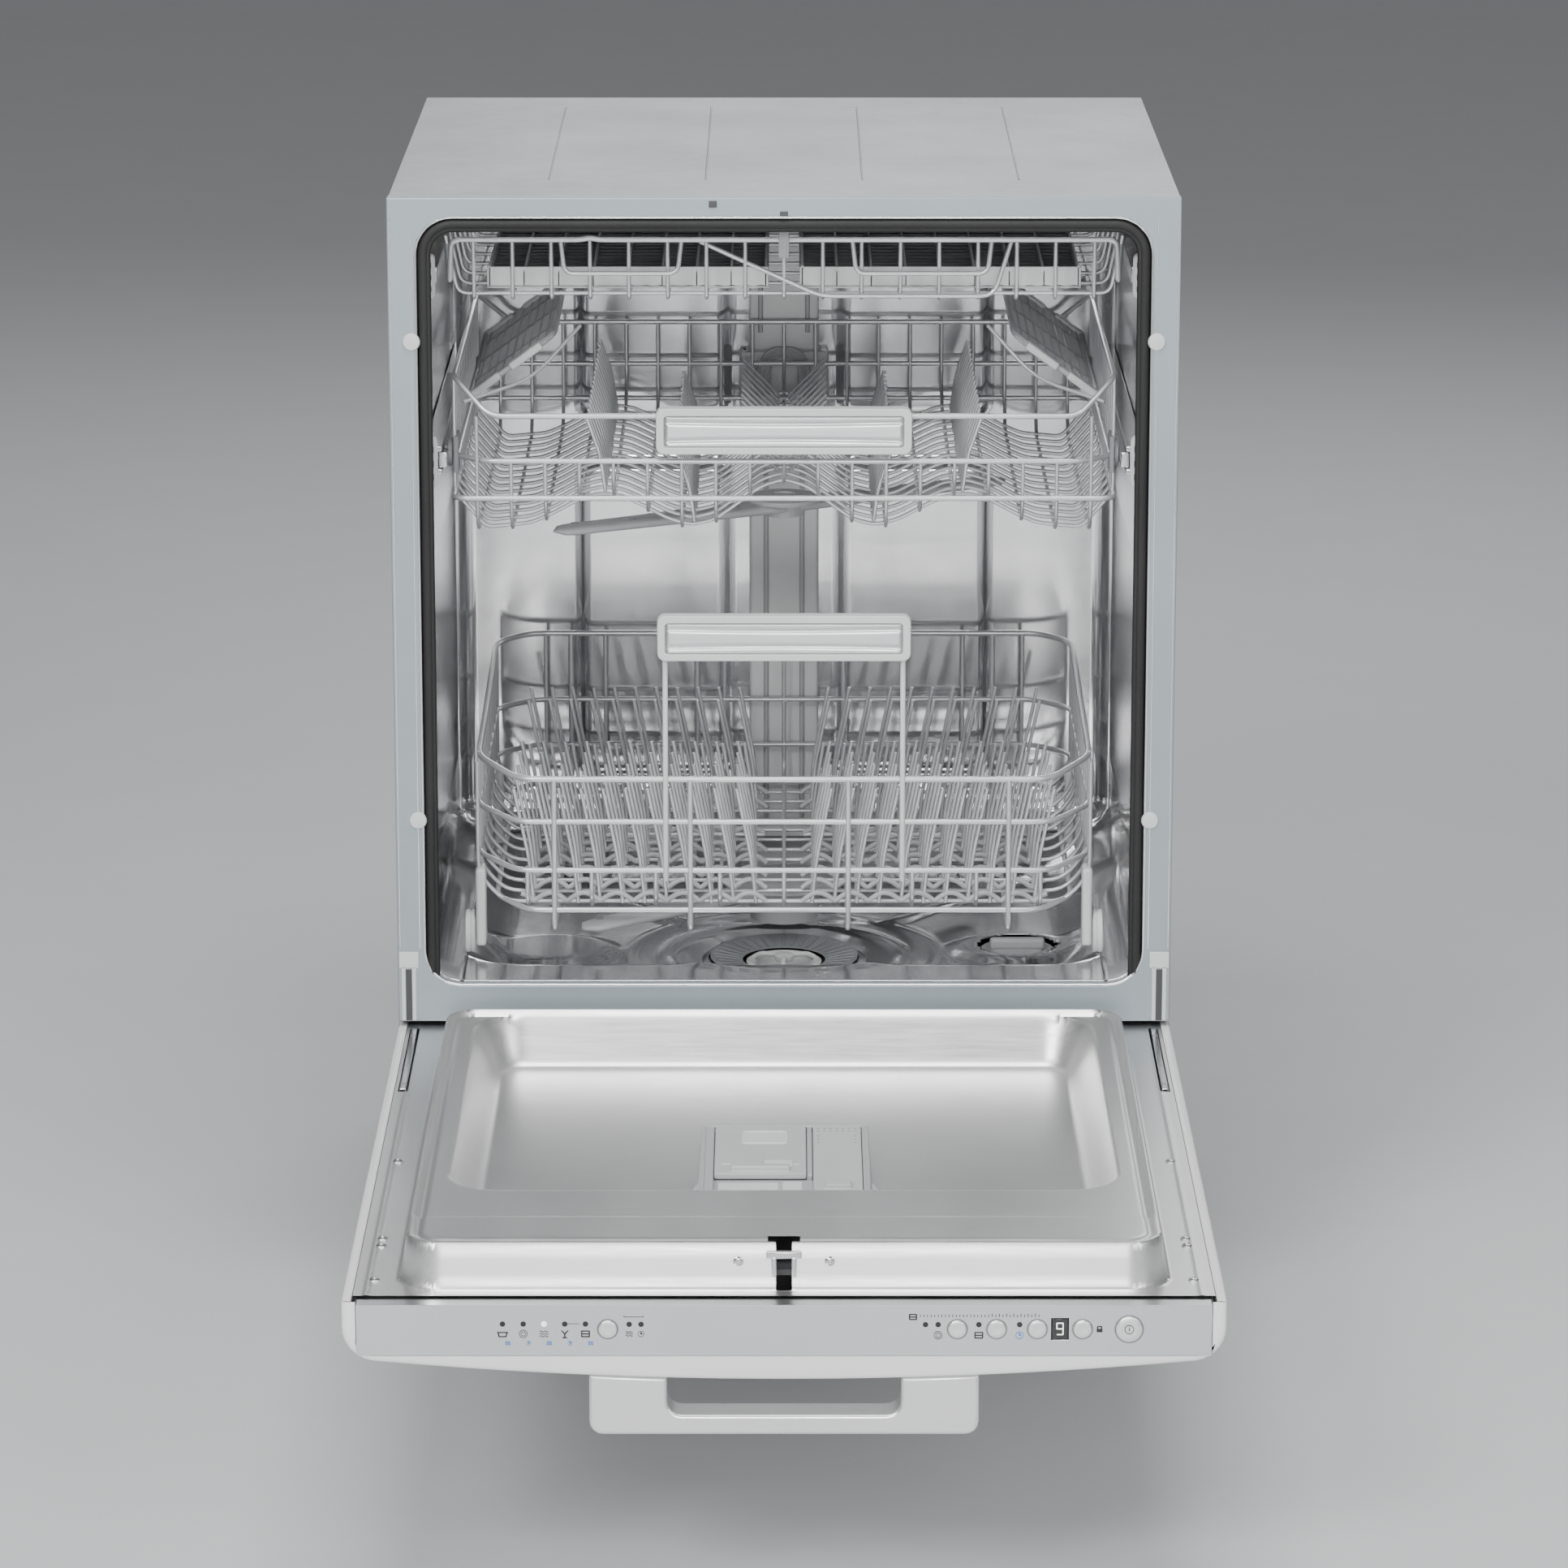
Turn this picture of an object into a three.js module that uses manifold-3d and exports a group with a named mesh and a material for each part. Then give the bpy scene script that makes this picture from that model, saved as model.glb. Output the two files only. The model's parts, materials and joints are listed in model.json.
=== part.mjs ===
// Built-in dishwasher with a drop-down door, drawn with the door open and the baskets in.
// Millimetres. +X right, +Y towards the back, +Z up. The cabinet's front plane is y = 0 inside the group.
import * as THREE from 'three';
import { mergeVertices } from 'three/addons/utils/BufferGeometryUtils.js';
import Module from 'manifold-3d';

const wasm = await Module();
wasm.setup();

// ---------------------------------------------------------------- driving dimensions
const width = 598;
const height = 870;
const bodyDepth = 550;
const gap = 0.4; // between pieces that touch
const sideStrip = 21; // visible width of the frame beside the mouth
const topStrip = 15;
const frameDepth = 12;
const mouthRadius = 28;
const tubWall = 1.2;
const backRoom = 56; // from the tub's inner back to the back of the machine
const sheet = 1.2; // steel of the door liner and the casing
const basinDrop = 24; // how far the tub's floor lies below the lip
const footDrop = 45; // base above the floor
const hingeY = -10;
const hingeZ = 214;
const flangeRise = 8; // from the hinge to the liner's rim when the door is open
const doorTopGap = 2; // below the machine's top when the door is shut
const doorTail = 58; // how far the door reaches below its hinge when shut
const islandRise = 32; // raised block of the liner above its rim
const islandInset = 16; // from the mouth's sides to the raised block
const lipClear = 1; // mouth's lower edge above the open door
const islandStart = 46; // from the hinge to the raised block
const panDepth = 40;
const panWall = 22; // width of the liner's rails beside the pan
const skinBulge = 15; // how much deeper the outer panel is at its middle
const skinSide = 41; // depth of the outer panel at its sides
const skinWall = 1.6;
const fasciaInset = 10; // from the door's sides to the control panel
const fasciaHigh = 36;
const buttonProud = 1.5;
const wire = 4.4; // basket wire
const basketFront = 48; // basket fronts behind the front plane
const basketRear = 26; // between the baskets and the tub's back
const upperSide = 23.4; // between the upper basket and the tub's sides
const lowerSide = 36.4; // room beside the lower basket for its wheels
const trayRimDrop = 25; // depths below the mouth's upper edge
const trayDrop = 72;
const upperRimDrop = 162;
const upperDrop = 254;
const middleArmDrop = 275;
const lowerFloorRise = 46; // heights above the mouth's lower edge
const lowerRimRise = 151;
const gripPlace = 0.604; // where the lower basket's grip stands between its rim and the upper basket
const wheelRadius = 17;
const wheelWide = 9;
const armRoom = 43; // from the front plane to a spray arm's tip
const armForward = 2; // spray arm hubs in front of the tub's middle

// ---------------------------------------------------------------- sizes that follow
const half = width / 2;
const mouthHalf = half - sideStrip;
const flangeZ = hingeZ + flangeRise;
const lipZ = flangeZ + islandRise + lipClear; // lower edge of the tub's mouth
const mouthTop = height - topStrip;
const doorReach = height - doorTopGap - hingeZ - hingeY; // door's top edge when open, in front of y = 0
const islandEnd = doorReach - 27;
const islandZ = flangeZ + islandRise;
const islandHalf = mouthHalf - islandInset;
const fasciaHalf = half - fasciaInset;
const tubHalf = mouthHalf - tubWall - gap;
const tubDepth = bodyDepth - backRoom; // from the front plane to the tub's inner back
const basketBack = tubDepth - basketRear;
const basketHalf = tubHalf - upperSide;
const lowerHalf = tubHalf - lowerSide;
const armY = tubDepth / 2 - armForward; // spray arm hubs behind the front plane
const armReach = armY - armRoom;
const level = (h) => lipZ + h;
const fromTop = (h) => mouthTop - h;
const trayRim = fromTop(trayRimDrop);
const trayLow = fromTop(trayDrop);
const upperRim = fromTop(upperRimDrop);
const upperLow = fromTop(upperDrop);
const lowerRim = level(lowerRimRise);
const lowerFloor = level(lowerFloorRise);

// ---------------------------------------------------------------- solids
function solid(geometry) {
  const g = geometry.index ? geometry.toNonIndexed() : geometry;
  for (const extra of ['normal', 'uv']) g.deleteAttribute(extra);
  const merged = mergeVertices(g, 1e-4);
  return new wasm.Manifold(new wasm.Mesh({
    numProp: 3,
    vertProperties: new Float32Array(merged.attributes.position.array),
    triVerts: new Uint32Array(merged.index.array),
  }));
}

function join(...solids) {
  return wasm.Manifold.union(solids.flat());
}

function box(x0, x1, y0, y1, z0, z1) {
  const g = new THREE.BoxGeometry(x1 - x0, y1 - y0, z1 - z0);
  g.translate((x0 + x1) / 2, (y0 + y1) / 2, (z0 + z1) / 2);
  return solid(g);
}

function outline(x0, x1, y0, y1, r, steps = 4) {
  const points = [];
  const corners = [[x1 - r, y1 - r, 0], [x0 + r, y1 - r, 1], [x0 + r, y0 + r, 2], [x1 - r, y0 + r, 3]];
  for (const [cx, cy, quarter] of corners) {
    for (let i = 0; i <= steps; i++) {
      const a = (quarter + i / steps) * Math.PI / 2;
      points.push(new THREE.Vector2(cx + r * Math.cos(a), cy + r * Math.sin(a)));
    }
  }
  return points;
}

// A flat outline in X and Y, raised along Z.
function raised(points, z0, z1) {
  const g = new THREE.ExtrudeGeometry(new THREE.Shape(points), { depth: z1 - z0, bevelEnabled: false });
  g.translate(0, 0, z0);
  return solid(g);
}

// An outline in X and Z, carried along Y.
function along(points, y0, y1) {
  const g = new THREE.ExtrudeGeometry(new THREE.Shape(points), { depth: y1 - y0, bevelEnabled: false });
  g.rotateX(Math.PI / 2);
  g.translate(0, y1, 0);
  return solid(g);
}

function cylinder(axis, radius, length, x, y, z, sides = 20) {
  const g = new THREE.CylinderGeometry(radius, radius, length, sides);
  if (axis === 'x') g.rotateZ(Math.PI / 2);
  if (axis === 'z') g.rotateX(Math.PI / 2);
  g.translate(x, y, z);
  return solid(g);
}

// A block whose top and bottom are rectangles of different size.
function taper(bottom, top, z0, z1) {
  const g = new THREE.BoxGeometry(1, 1, 1);
  const p = g.attributes.position;
  for (let i = 0; i < p.count; i++) {
    const r = p.getZ(i) > 0 ? top : bottom;
    p.setXYZ(i, p.getX(i) > 0 ? r[1] : r[0], p.getY(i) > 0 ? r[3] : r[2], p.getZ(i) > 0 ? z1 : z0);
  }
  return solid(g);
}

// One wire from point to point, square in section and mitred where it bends. A closed one has no ends.
function wires(points, d = wire, closed = false) {
  const p = points.map((v) => new THREE.Vector3(...v));
  const count = p.length;
  const way = p.map((v, i) => p[(i + 1) % count].clone().sub(v).normalize());
  const up = Math.abs(way[0].z) > 0.9 ? new THREE.Vector3(0, 1, 0) : new THREE.Vector3(0, 0, 1);
  const across = new THREE.Vector3().crossVectors(way[0], up).normalize();
  const over = new THREE.Vector3().crossVectors(across, way[0]);
  const r = d / 2;
  const plane = (i) => {
    if (!closed && i === 0) return way[0];
    if (!closed && i === count - 1) return way[i - 1];
    return way[(i + count - 1) % count].clone().add(way[i]).normalize();
  };
  const slide = (v, w, i) => {
    const n = plane(i);
    const centre = p[i].clone().addScaledVector(w, !closed && i === count - 1 ? r * 0.4 : 0);
    return v.clone().addScaledVector(w, centre.sub(v).dot(n) / w.dot(n));
  };
  const back = closed ? 0 : -r * 0.4;
  let ring = [[r, r], [-r, r], [-r, -r], [r, -r]].map(([a, b]) => p[0].clone()
    .addScaledVector(across, a).addScaledVector(over, b).addScaledVector(way[0], back));
  if (closed) ring = ring.map((v) => slide(v, way[0], 0));
  const vertices = [...ring];
  for (let i = 1; i < count; i++) {
    ring = ring.map((v) => slide(v, way[i - 1], i));
    vertices.push(...ring);
  }
  const faces = [];
  const spans = closed ? count : count - 1;
  for (let i = 0; i < spans; i++) {
    const next = (i + 1) % count;
    for (let k = 0; k < 4; k++) {
      const m = (k + 1) % 4;
      faces.push([i * 4 + k, next * 4 + k, i * 4 + m], [i * 4 + m, next * 4 + k, next * 4 + m]);
    }
  }
  const e = (count - 1) * 4;
  if (!closed) faces.push([0, 1, 2], [0, 2, 3], [e, e + 2, e + 1], [e, e + 3, e + 2]);
  const g = new THREE.BufferGeometry();
  g.setAttribute('position', new THREE.Float32BufferAttribute(vertices.flatMap((v) => v.toArray()), 3));
  g.setIndex(faces.flat());
  const made = solid(g);
  return [made.volume() < 0 ? solid(flipped(g)) : made];
}

function flipped(g) {
  const index = g.index.array;
  for (let i = 0; i < index.length; i += 3) [index[i], index[i + 1]] = [index[i + 1], index[i]];
  return g;
}

// A closed wire loop lying flat, with cut corners.
function loop(x0, x1, y0, y1, z, cut, d = wire) {
  return wires([
    [x0 + cut, y0, z], [x1 - cut, y0, z], [x1, y0 + cut, z], [x1, y1 - cut, z],
    [x1 - cut, y1, z], [x0 + cut, y1, z], [x0, y1 - cut, z], [x0, y0 + cut, z],
  ], d, true);
}

function spread(low, high, count) {
  return Array.from({ length: count }, (_, i) => low + (high - low) * i / (count - 1));
}

// ---------------------------------------------------------------- materials
const paint = (colour, roughness, metalness) => new THREE.MeshStandardMaterial({
  color: new THREE.Color(...colour), roughness, metalness,
});
const looks = {
  steel: paint([0.62, 0.62, 0.63], 0.28, 1),
  frame: paint([0.66, 0.69, 0.72], 0.35, 0.9),
  white: paint([0.86, 0.86, 0.84], 0.2, 0),
  grey: paint([0.72, 0.73, 0.74], 0.45, 0),
  dark: paint([0.12, 0.12, 0.13], 0.5, 0),
  rubber: paint([0.03, 0.03, 0.03], 0.7, 0),
  wire: paint([0.7, 0.71, 0.73], 0.35, 0.5),
  satin: paint([0.78, 0.78, 0.78], 0.3, 0.9),
};

const root = new THREE.Group();
root.position.set(0, (doorReach - bodyDepth) / 2, 0);

function add(name, body, look) {
  const data = body.getMesh();
  const g = new THREE.BufferGeometry();
  g.setAttribute('position', new THREE.BufferAttribute(new Float32Array(data.vertProperties), 3));
  g.setIndex(new THREE.BufferAttribute(new Uint32Array(data.triVerts), 1));
  g.computeVertexNormals();
  const mesh = new THREE.Mesh(g, looks[look].clone());
  mesh.name = name;
  root.add(mesh);
}

const sides = [['left', -1], ['right', 1]];
const mirrored = (body, side) => (side < 0 ? body.mirror([1, 0, 0]) : body);

// ---------------------------------------------------------------- tub
const basinX = tubHalf - 16;
const basinY = [56, tubDepth - 18];
const basinZ = lipZ - basinDrop;
const sumpY = 165;
const sumpRadius = 62;
const tubFront = frameDepth + gap;
const saltInset = 73.4;
const saltAt = [basinX - saltInset, 176];
const saltRadius = 32;

function tubBody(grow) {
  const back = tubDepth + grow;
  const main = along(outline(-tubHalf - grow, tubHalf + grow, lipZ - grow, mouthTop - tubWall + grow,
    mouthRadius + grow), tubFront - (grow ? 0 : 1), back);
  const basin = taper([-basinX + 30 - grow, basinX - 30 + grow, basinY[0] + 24 - grow,
    basinY[1] - 24 + grow],
    [-basinX - grow, basinX + grow, basinY[0] - grow, basinY[1] + grow], basinZ - grow, lipZ + 6);
  return join(main, basin);
}

function tub() {
  const sumpHole = cylinder('z', sumpRadius, 60, 0, sumpY, basinZ, 28);
  const saltHole = cylinder('z', saltRadius + gap, 60, ...saltAt, basinZ, 20);
  return tubBody(tubWall).subtract(tubBody(0)).subtract(sumpHole).subtract(saltHole);
}
add('tub', tub(), 'steel');

// ---------------------------------------------------------------- front frame and seal
const frameLow = flangeZ + 4; // the frame ends just above the open door
function frontFrame() {
  const plate = box(-half, half, 0, frameDepth, frameLow, height);
  const mouth = along(outline(-mouthHalf, mouthHalf, lipZ, mouthTop, mouthRadius), -1, frameDepth + 1);
  return plate.subtract(mouth);
}
add('front_frame', frontFrame(), 'frame');

const sealOut = mouthHalf - gap;
const sealIn = islandHalf + 4;
const sealTop = mouthTop - 8;
const sealDepth = 10;
function tubGasket() {
  const outer = along(outline(-sealOut, sealOut, lipZ + 1, mouthTop - gap, mouthRadius - gap), 2,
    sealDepth);
  const inner = along(outline(-sealIn, sealIn, lipZ - 60, sealTop, mouthRadius - 10), 0, frameDepth + 2);
  const below = box(-half, half, 0, frameDepth + 2, lipZ - 10, lipZ + mouthRadius);
  return outer.subtract(inner).subtract(below);
}
add('tub_gasket', tubGasket(), 'rubber');

const strikeZ = mouthTop - tubWall - gap;
function strike() {
  const plate = box(-26, 26, sealDepth + 1, 34, strikeZ - 3, strikeZ);
  const tongue = box(-9, 9, sealDepth + 1, sealDepth + 7, doorReach + hingeZ + hingeY - 46, strikeZ - 1);
  return join(plate, tongue);
}

// ---------------------------------------------------------------- casing and base
const casingHalf = half - 0.5;
const baseFront = doorTail + 4; // clear of the door's swept tail
const baseTop = flangeZ + 3;
function outerCasing() {
  const y0 = frameDepth + gap;
  const shell = box(-casingHalf, casingHalf, y0, bodyDepth, baseTop + gap, height - 1);
  const inside = box(-casingHalf + sheet, casingHalf - sheet, y0 - 1, bodyDepth - sheet, baseTop - 1,
    height - 1 - sheet);
  return shell.subtract(inside);
}
add('outer_casing', outerCasing(), 'frame');

const baseWall = 3;
const footX = half - 45;
const footYs = [baseFront + 26, bodyDepth - 45];
const footStem = 7;
function baseHousing() {
  const shell = box(-casingHalf, casingHalf, baseFront, bodyDepth - 1, footDrop, baseTop);
  const inside = box(-casingHalf + baseWall, casingHalf - baseWall, baseFront + baseWall,
    bodyDepth - 1 - baseWall, footDrop + baseWall, baseTop + 1);
  let body = shell.subtract(inside);
  for (const x of [-footX, footX]) {
    for (const y of footYs) {
      body = body.add(cylinder('z', footStem + 9, 60, x, y, footDrop + 30, 16));
      body = body.subtract(cylinder('z', footStem + 1, 52, x, y, footDrop + 25.5, 16));
    }
  }
  return body;
}
add('base_housing', baseHousing(), 'dark');
add('base_front_plate', box(-casingHalf + 4, casingHalf - 4, baseFront - gap - 2, baseFront - gap,
  footDrop + 6, footDrop + 92), 'frame');

footYs.forEach((y, row) => {
  sides.forEach(([side, sign]) => {
    const pad = cylinder('z', 19, 9, sign * footX, y, 4.5, 20);
    const stem = cylinder('z', footStem, footDrop + 12, sign * footX, y, (footDrop + 12) / 2 + 4, 16);
    add(`foot_${row ? 'rear' : 'front'}_${side}`, join(pad, stem), 'dark');
  });
});

for (const [side, sign] of sides) {
  const coil = cylinder('y', 9, 150, sign * (casingHalf - 16), 260, 150, 12);
  const rod = cylinder('y', 2.5, 90, sign * (casingHalf - 16), 142, 150, 8);
  add(`door_spring_${side}`, join(coil, rod), 'steel');
}

// ---------------------------------------------------------------- water system under the tub
const sumpTop = basinZ - tubWall - gap;
function sump() {
  const profile = [[0, 0], [30, 0], [44, 12], [sumpRadius + 8, 60], [sumpRadius + 8, 66],
    [sumpRadius - 4, 66],
    [38, 16], [0, 16]].map(([r, h]) => new THREE.Vector2(r, h));
  profile.push(profile[0].clone());
  const g = new THREE.LatheGeometry(profile, 28);
  g.rotateX(Math.PI / 2);
  g.translate(0, sumpY, sumpTop - 66);
  return solid(g);
}
add('sump', sump(), 'dark');
const pumpRadius = 42;
const pumpAt = [-150, 250, footDrop + 75];
const drainRadius = 26;
const drainAt = [saltAt[0] - 57, 120, footDrop + 65];
// A motor lying along X with a wider end towards the sump.
function pump(radius, length, at, toSump) {
  const [x, y, z] = at;
  const end = x + toSump * (length / 2 + radius * 0.2);
  return join(cylinder('x', radius, length, x, y, z),
    cylinder('x', radius * 1.25, radius * 0.65, end, y, z));
}
add('circulation_pump', pump(pumpRadius, 120, pumpAt, 1), 'dark');
add('drain_pump', pump(drainRadius, 70, drainAt, -1), 'grey');
function softenerTank() {
  const [x, y] = saltAt;
  const tank = box(x - 77, x + 63, y - 26, y + 124, footDrop + 50, basinZ - 30);
  const neck = cylinder('z', saltRadius - 4, 40, ...saltAt, basinZ - 23, 20);
  return join(tank, neck).subtract(cylinder('z', saltRadius - 8, 60, ...saltAt, basinZ, 20));
}
add('softener_tank', softenerTank(), 'grey');

function saltCap() {
  const disc = cylinder('z', saltRadius - 2, 8, ...saltAt, basinZ + 1.5, 20);
  const grip = box(saltAt[0] - 22, saltAt[0] + 22, saltAt[1] - 4, saltAt[1] + 4, basinZ + 4, basinZ + 14);
  return join(disc, grip);
}
add('salt_cap', saltCap(), 'grey');

const filterRadius = 30;
const filterY = sumpY - 8;
function microFilter() {
  const mesh = cylinder('z', filterRadius, 30, 0, filterY, basinZ - 13, 24)
    .subtract(cylinder('z', filterRadius - 4, 30, 0, filterY, basinZ - 9, 24));
  const bar = box(-filterRadius + 1, filterRadius - 1, filterY - 3, filterY + 3, basinZ - 6, basinZ + 6);
  return join(mesh, bar);
}
add('micro_filter', microFilter(), 'grey');

const ductHalf = 29;
function waterDuct() {
  const low = lipZ + gap;
  const spine = box(-ductHalf, ductHalf, tubDepth - 14, tubDepth - gap, low, fromTop(22));
  const dock = box(-ductHalf - 8, ductHalf + 8, tubDepth - 18, tubDepth - 1, upperLow + 14, upperLow + 66);
  const foot = box(-ductHalf, ductHalf, armY + armReach + 8, tubDepth - 13, low, low + 10);
  return join(spine, dock, foot).subtract(box(-12, 12, tubDepth - 20, tubDepth - 8, upperLow + 28,
    upperLow + 52));
}

// ---------------------------------------------------------------- spray arms
function sprayArm(z, hubLow, hubHigh, hubRadius) {
  const blade = taper([-16, 16, armY - 8, armY + armReach - 6], [-11, 11, armY - 4, armY + armReach], z,
    z + 9);
  const bladeBack = taper([-16, 16, armY - armReach + 6, armY + 8],
    [-11, 11, armY - armReach, armY + 4], z, z + 9);
  const hub = cylinder('z', hubRadius, hubHigh - hubLow, 0, armY, (hubHigh + hubLow) / 2, 28);
  return join(blade, bladeBack, hub);
}
const lowerArmZ = lipZ + 11;
const middleArmZ = fromTop(middleArmDrop);
const turn = (body, degrees) => body.translate([0, -armY, 0]).rotate([0, 0, degrees])
  .translate([0, armY, 0]);
add('lower_spray_arm', turn(sprayArm(lowerArmZ, basinZ + 13, lowerArmZ + 12, 50), -50), 'grey');
add('middle_spray_arm', turn(sprayArm(middleArmZ, middleArmZ - 3, middleArmZ + 14, 30), -62), 'grey');
add('water_duct', waterDuct(), 'grey');

// ---------------------------------------------------------------- upper basket and its rails
const railZ = upperRim - 34;
const railOut = tubHalf - 1;
const railIn = basketHalf + wire / 2 + 7;
for (const [side, sign] of sides) {
  const rail = box(railIn, railOut, basketFront + 2, tubDepth - 4, railZ - 11, railZ + 11);
  const groove = box(railIn - 1, railIn + 3, basketFront + 1, tubDepth - 3, railZ - 7, railZ + 7);
  add(`basket_rail_${side}`, mirrored(rail.subtract(groove), sign), 'steel');
  const trayRail = box(railIn + 2, railOut, basketFront + 2, tubDepth - 4, trayLow + 14, trayLow + 26);
  add(`tray_rail_${side}`, mirrored(trayRail, sign), 'steel');
  const runner = box(railIn - 4, railIn + 3 - gap, basketFront + 4, basketBack - 20, railZ - 6, railZ + 6);
  add(`runner_${side}`, mirrored(runner, sign), 'steel');
}

function upperBasket() {
  const h = basketHalf;
  const f = basketFront + wire / 2;
  const b = basketBack;
  const pieces = [];
  const side = upperRim + 27;
  pieces.push(...wires([[-h, f + 20, side], [-h + 28, f, upperRim], [h - 28, f, upperRim],
    [h, f + 20, side], [h, b - 20, side], [h - 28, b, upperRim], [-h + 28, b, upperRim],
      [-h, b - 20, side]], wire, true));
  pieces.push(...loop(-h, h, f, b, upperRim - 35, 24));
  pieces.push(...loop(-h + 6, h - 6, f + 2, b - 2, upperRim - 64, 24));
  const floor = upperLow;
  for (const x of spread(-h + 46, h - 46, 6)) {
    pieces.push(...wires([[x, f, upperRim], [x, f + 4, floor + 18], [x, f + 34, floor], [x, b - 34, floor],
      [x, b - 4, floor + 18], [x, b, upperRim]]));
  }
  for (const y of spread(f + 70, b - 50, 4)) {
    pieces.push(...wires([[-h, y, side], [-h, y, upperRim - 64], [-h + 46, y, floor + 2],
      [h - 46, y, floor + 2],
      [h, y, upperRim - 64], [h, y, side]]));
  }
  return join(pieces);
}
add('upper_basket', upperBasket(), 'wire');

const gripHalf = 98;
const gripHigh = 36;
const gripDeep = 11;
function basketGrip(z0, y1) {
  const bar = along(outline(-gripHalf, gripHalf, z0, z0 + gripHigh, 8, 3), y1 - gripDeep, y1);
  const hollow = along(outline(-gripHalf + 14, gripHalf - 14, z0 - 20, z0 + gripHigh - 8, 6, 3),
    y1 - gripDeep + 3.5, y1 + 1);
  return bar.subtract(hollow);
}
add('upper_basket_handle', basketGrip(upperRim - 27, basketFront - 1), 'grey');

const shelfTilt = 36;
const shelfY = [basketFront + 72, basketBack - 68];
const shelfWide = 82;
const shelfSlots = 6;
const shelfHinge = [basketHalf - 8, upperRim + 2];
for (const [side, sign] of sides) {
  const [x1, z1] = shelfHinge;
  const rows = spread(shelfY[0] + 12, shelfY[1] - 52, shelfSlots);
  const slotLong = (rows[1] - rows[0]) * 0.7;
  let shelf = box(x1 - shelfWide, x1, ...shelfY, z1 - 4, z1);
  for (const x of spread(x1 - shelfWide + 5, x1 - 20, 4)) {
    for (const y of rows) shelf = shelf.subtract(box(x, x + 12, y, y + slotLong, z1 - 9, z1 + 2));
  }
  shelf = shelf.add(box(x1 - 4, x1 + 1, shelfY[0] + 10, shelfY[1] - 10, z1 - 6, z1));
  const tilted = shelf.translate([-x1, 0, -z1]).rotate([0, shelfTilt, 0]).translate([x1, 0, z1]);
  add(`cup_shelf_${side}`, mirrored(tilted, sign), 'dark');
}

// ---------------------------------------------------------------- cutlery tray
const trayHalf = railIn - 1;
function cutleryTray() {
  const f = basketFront + wire / 2;
  const b = basketBack - 10;
  const pieces = [];
  pieces.push(...loop(-trayHalf + 3, trayHalf - 3, f, b, trayRim, 26));
  pieces.push(...loop(-trayHalf + 8.5, trayHalf - 8.5, f + 3.5, b - 3.5, trayLow + 26, 30));
  for (const x of spread(-trayHalf + 50, trayHalf - 50, 5)) {
    pieces.push(...wires([[x, f, trayRim], [x, f + 9, trayLow], [x, b - 9, trayLow], [x, b, trayRim]]));
  }
  for (const y of spread(f + 60, b - 60, 3)) {
    pieces.push(...wires([[-trayHalf + 3, y, trayRim], [-trayHalf + 16, y, trayLow + 1.5],
      [trayHalf - 16, y, trayLow + 1.5],
      [trayHalf - 3, y, trayRim]]));
  }
  return join(pieces);
}
add('cutlery_tray', cutleryTray(), 'wire');

function trayInsert(x0, x1) {
  const z = trayLow + 2 + wire / 2 + 1;
  const y0 = basketFront + 26;
  const y1 = basketBack - 40;
  let body = box(x0, x1, y0, y1, z, z + 3);
  for (const x of spread(x0 + 2, x1 - 2, 5)) body = body.add(box(x - 1.2, x + 1.2, y0, y1, z, z + 18));
  for (const y of spread(y0 + 40, y1 - 40, 5)) body = body.add(box(x0 + 1, x1 - 1, y - 1.2, y + 1.2, z,
    z + 12));
  return body;
}
add('tray_insert_left', trayInsert(-trayHalf + 34, -12), 'grey');
add('tray_insert_right', trayInsert(12, trayHalf - 34), 'grey');

// ---------------------------------------------------------------- lower basket
const wheelZ = lipZ + wheelRadius + 2.5;
const wheelYs = [basketFront + 42, basketBack - 60];
const tineHigh = 78;
const fixedRows = [basketFront + 102, basketBack - 93];
const foldRow = (fixedRows[0] + fixedRows[1]) / 2 - 0.5;
// A cross wire with upright tines that lean outwards.
function tineRow(y, s, z) {
  const x0 = 34;
  const x1 = lowerHalf - 40;
  const row = wires([[s * x0, y, z], [s * x1, y, z]]);
  for (const x of spread(x0 + 4, x1 - 12, 6)) {
    row.push(...wires([[s * x, y, z], [s * (x + 8), y, z + tineHigh]], 3.6));
  }
  return row;
}

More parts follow.
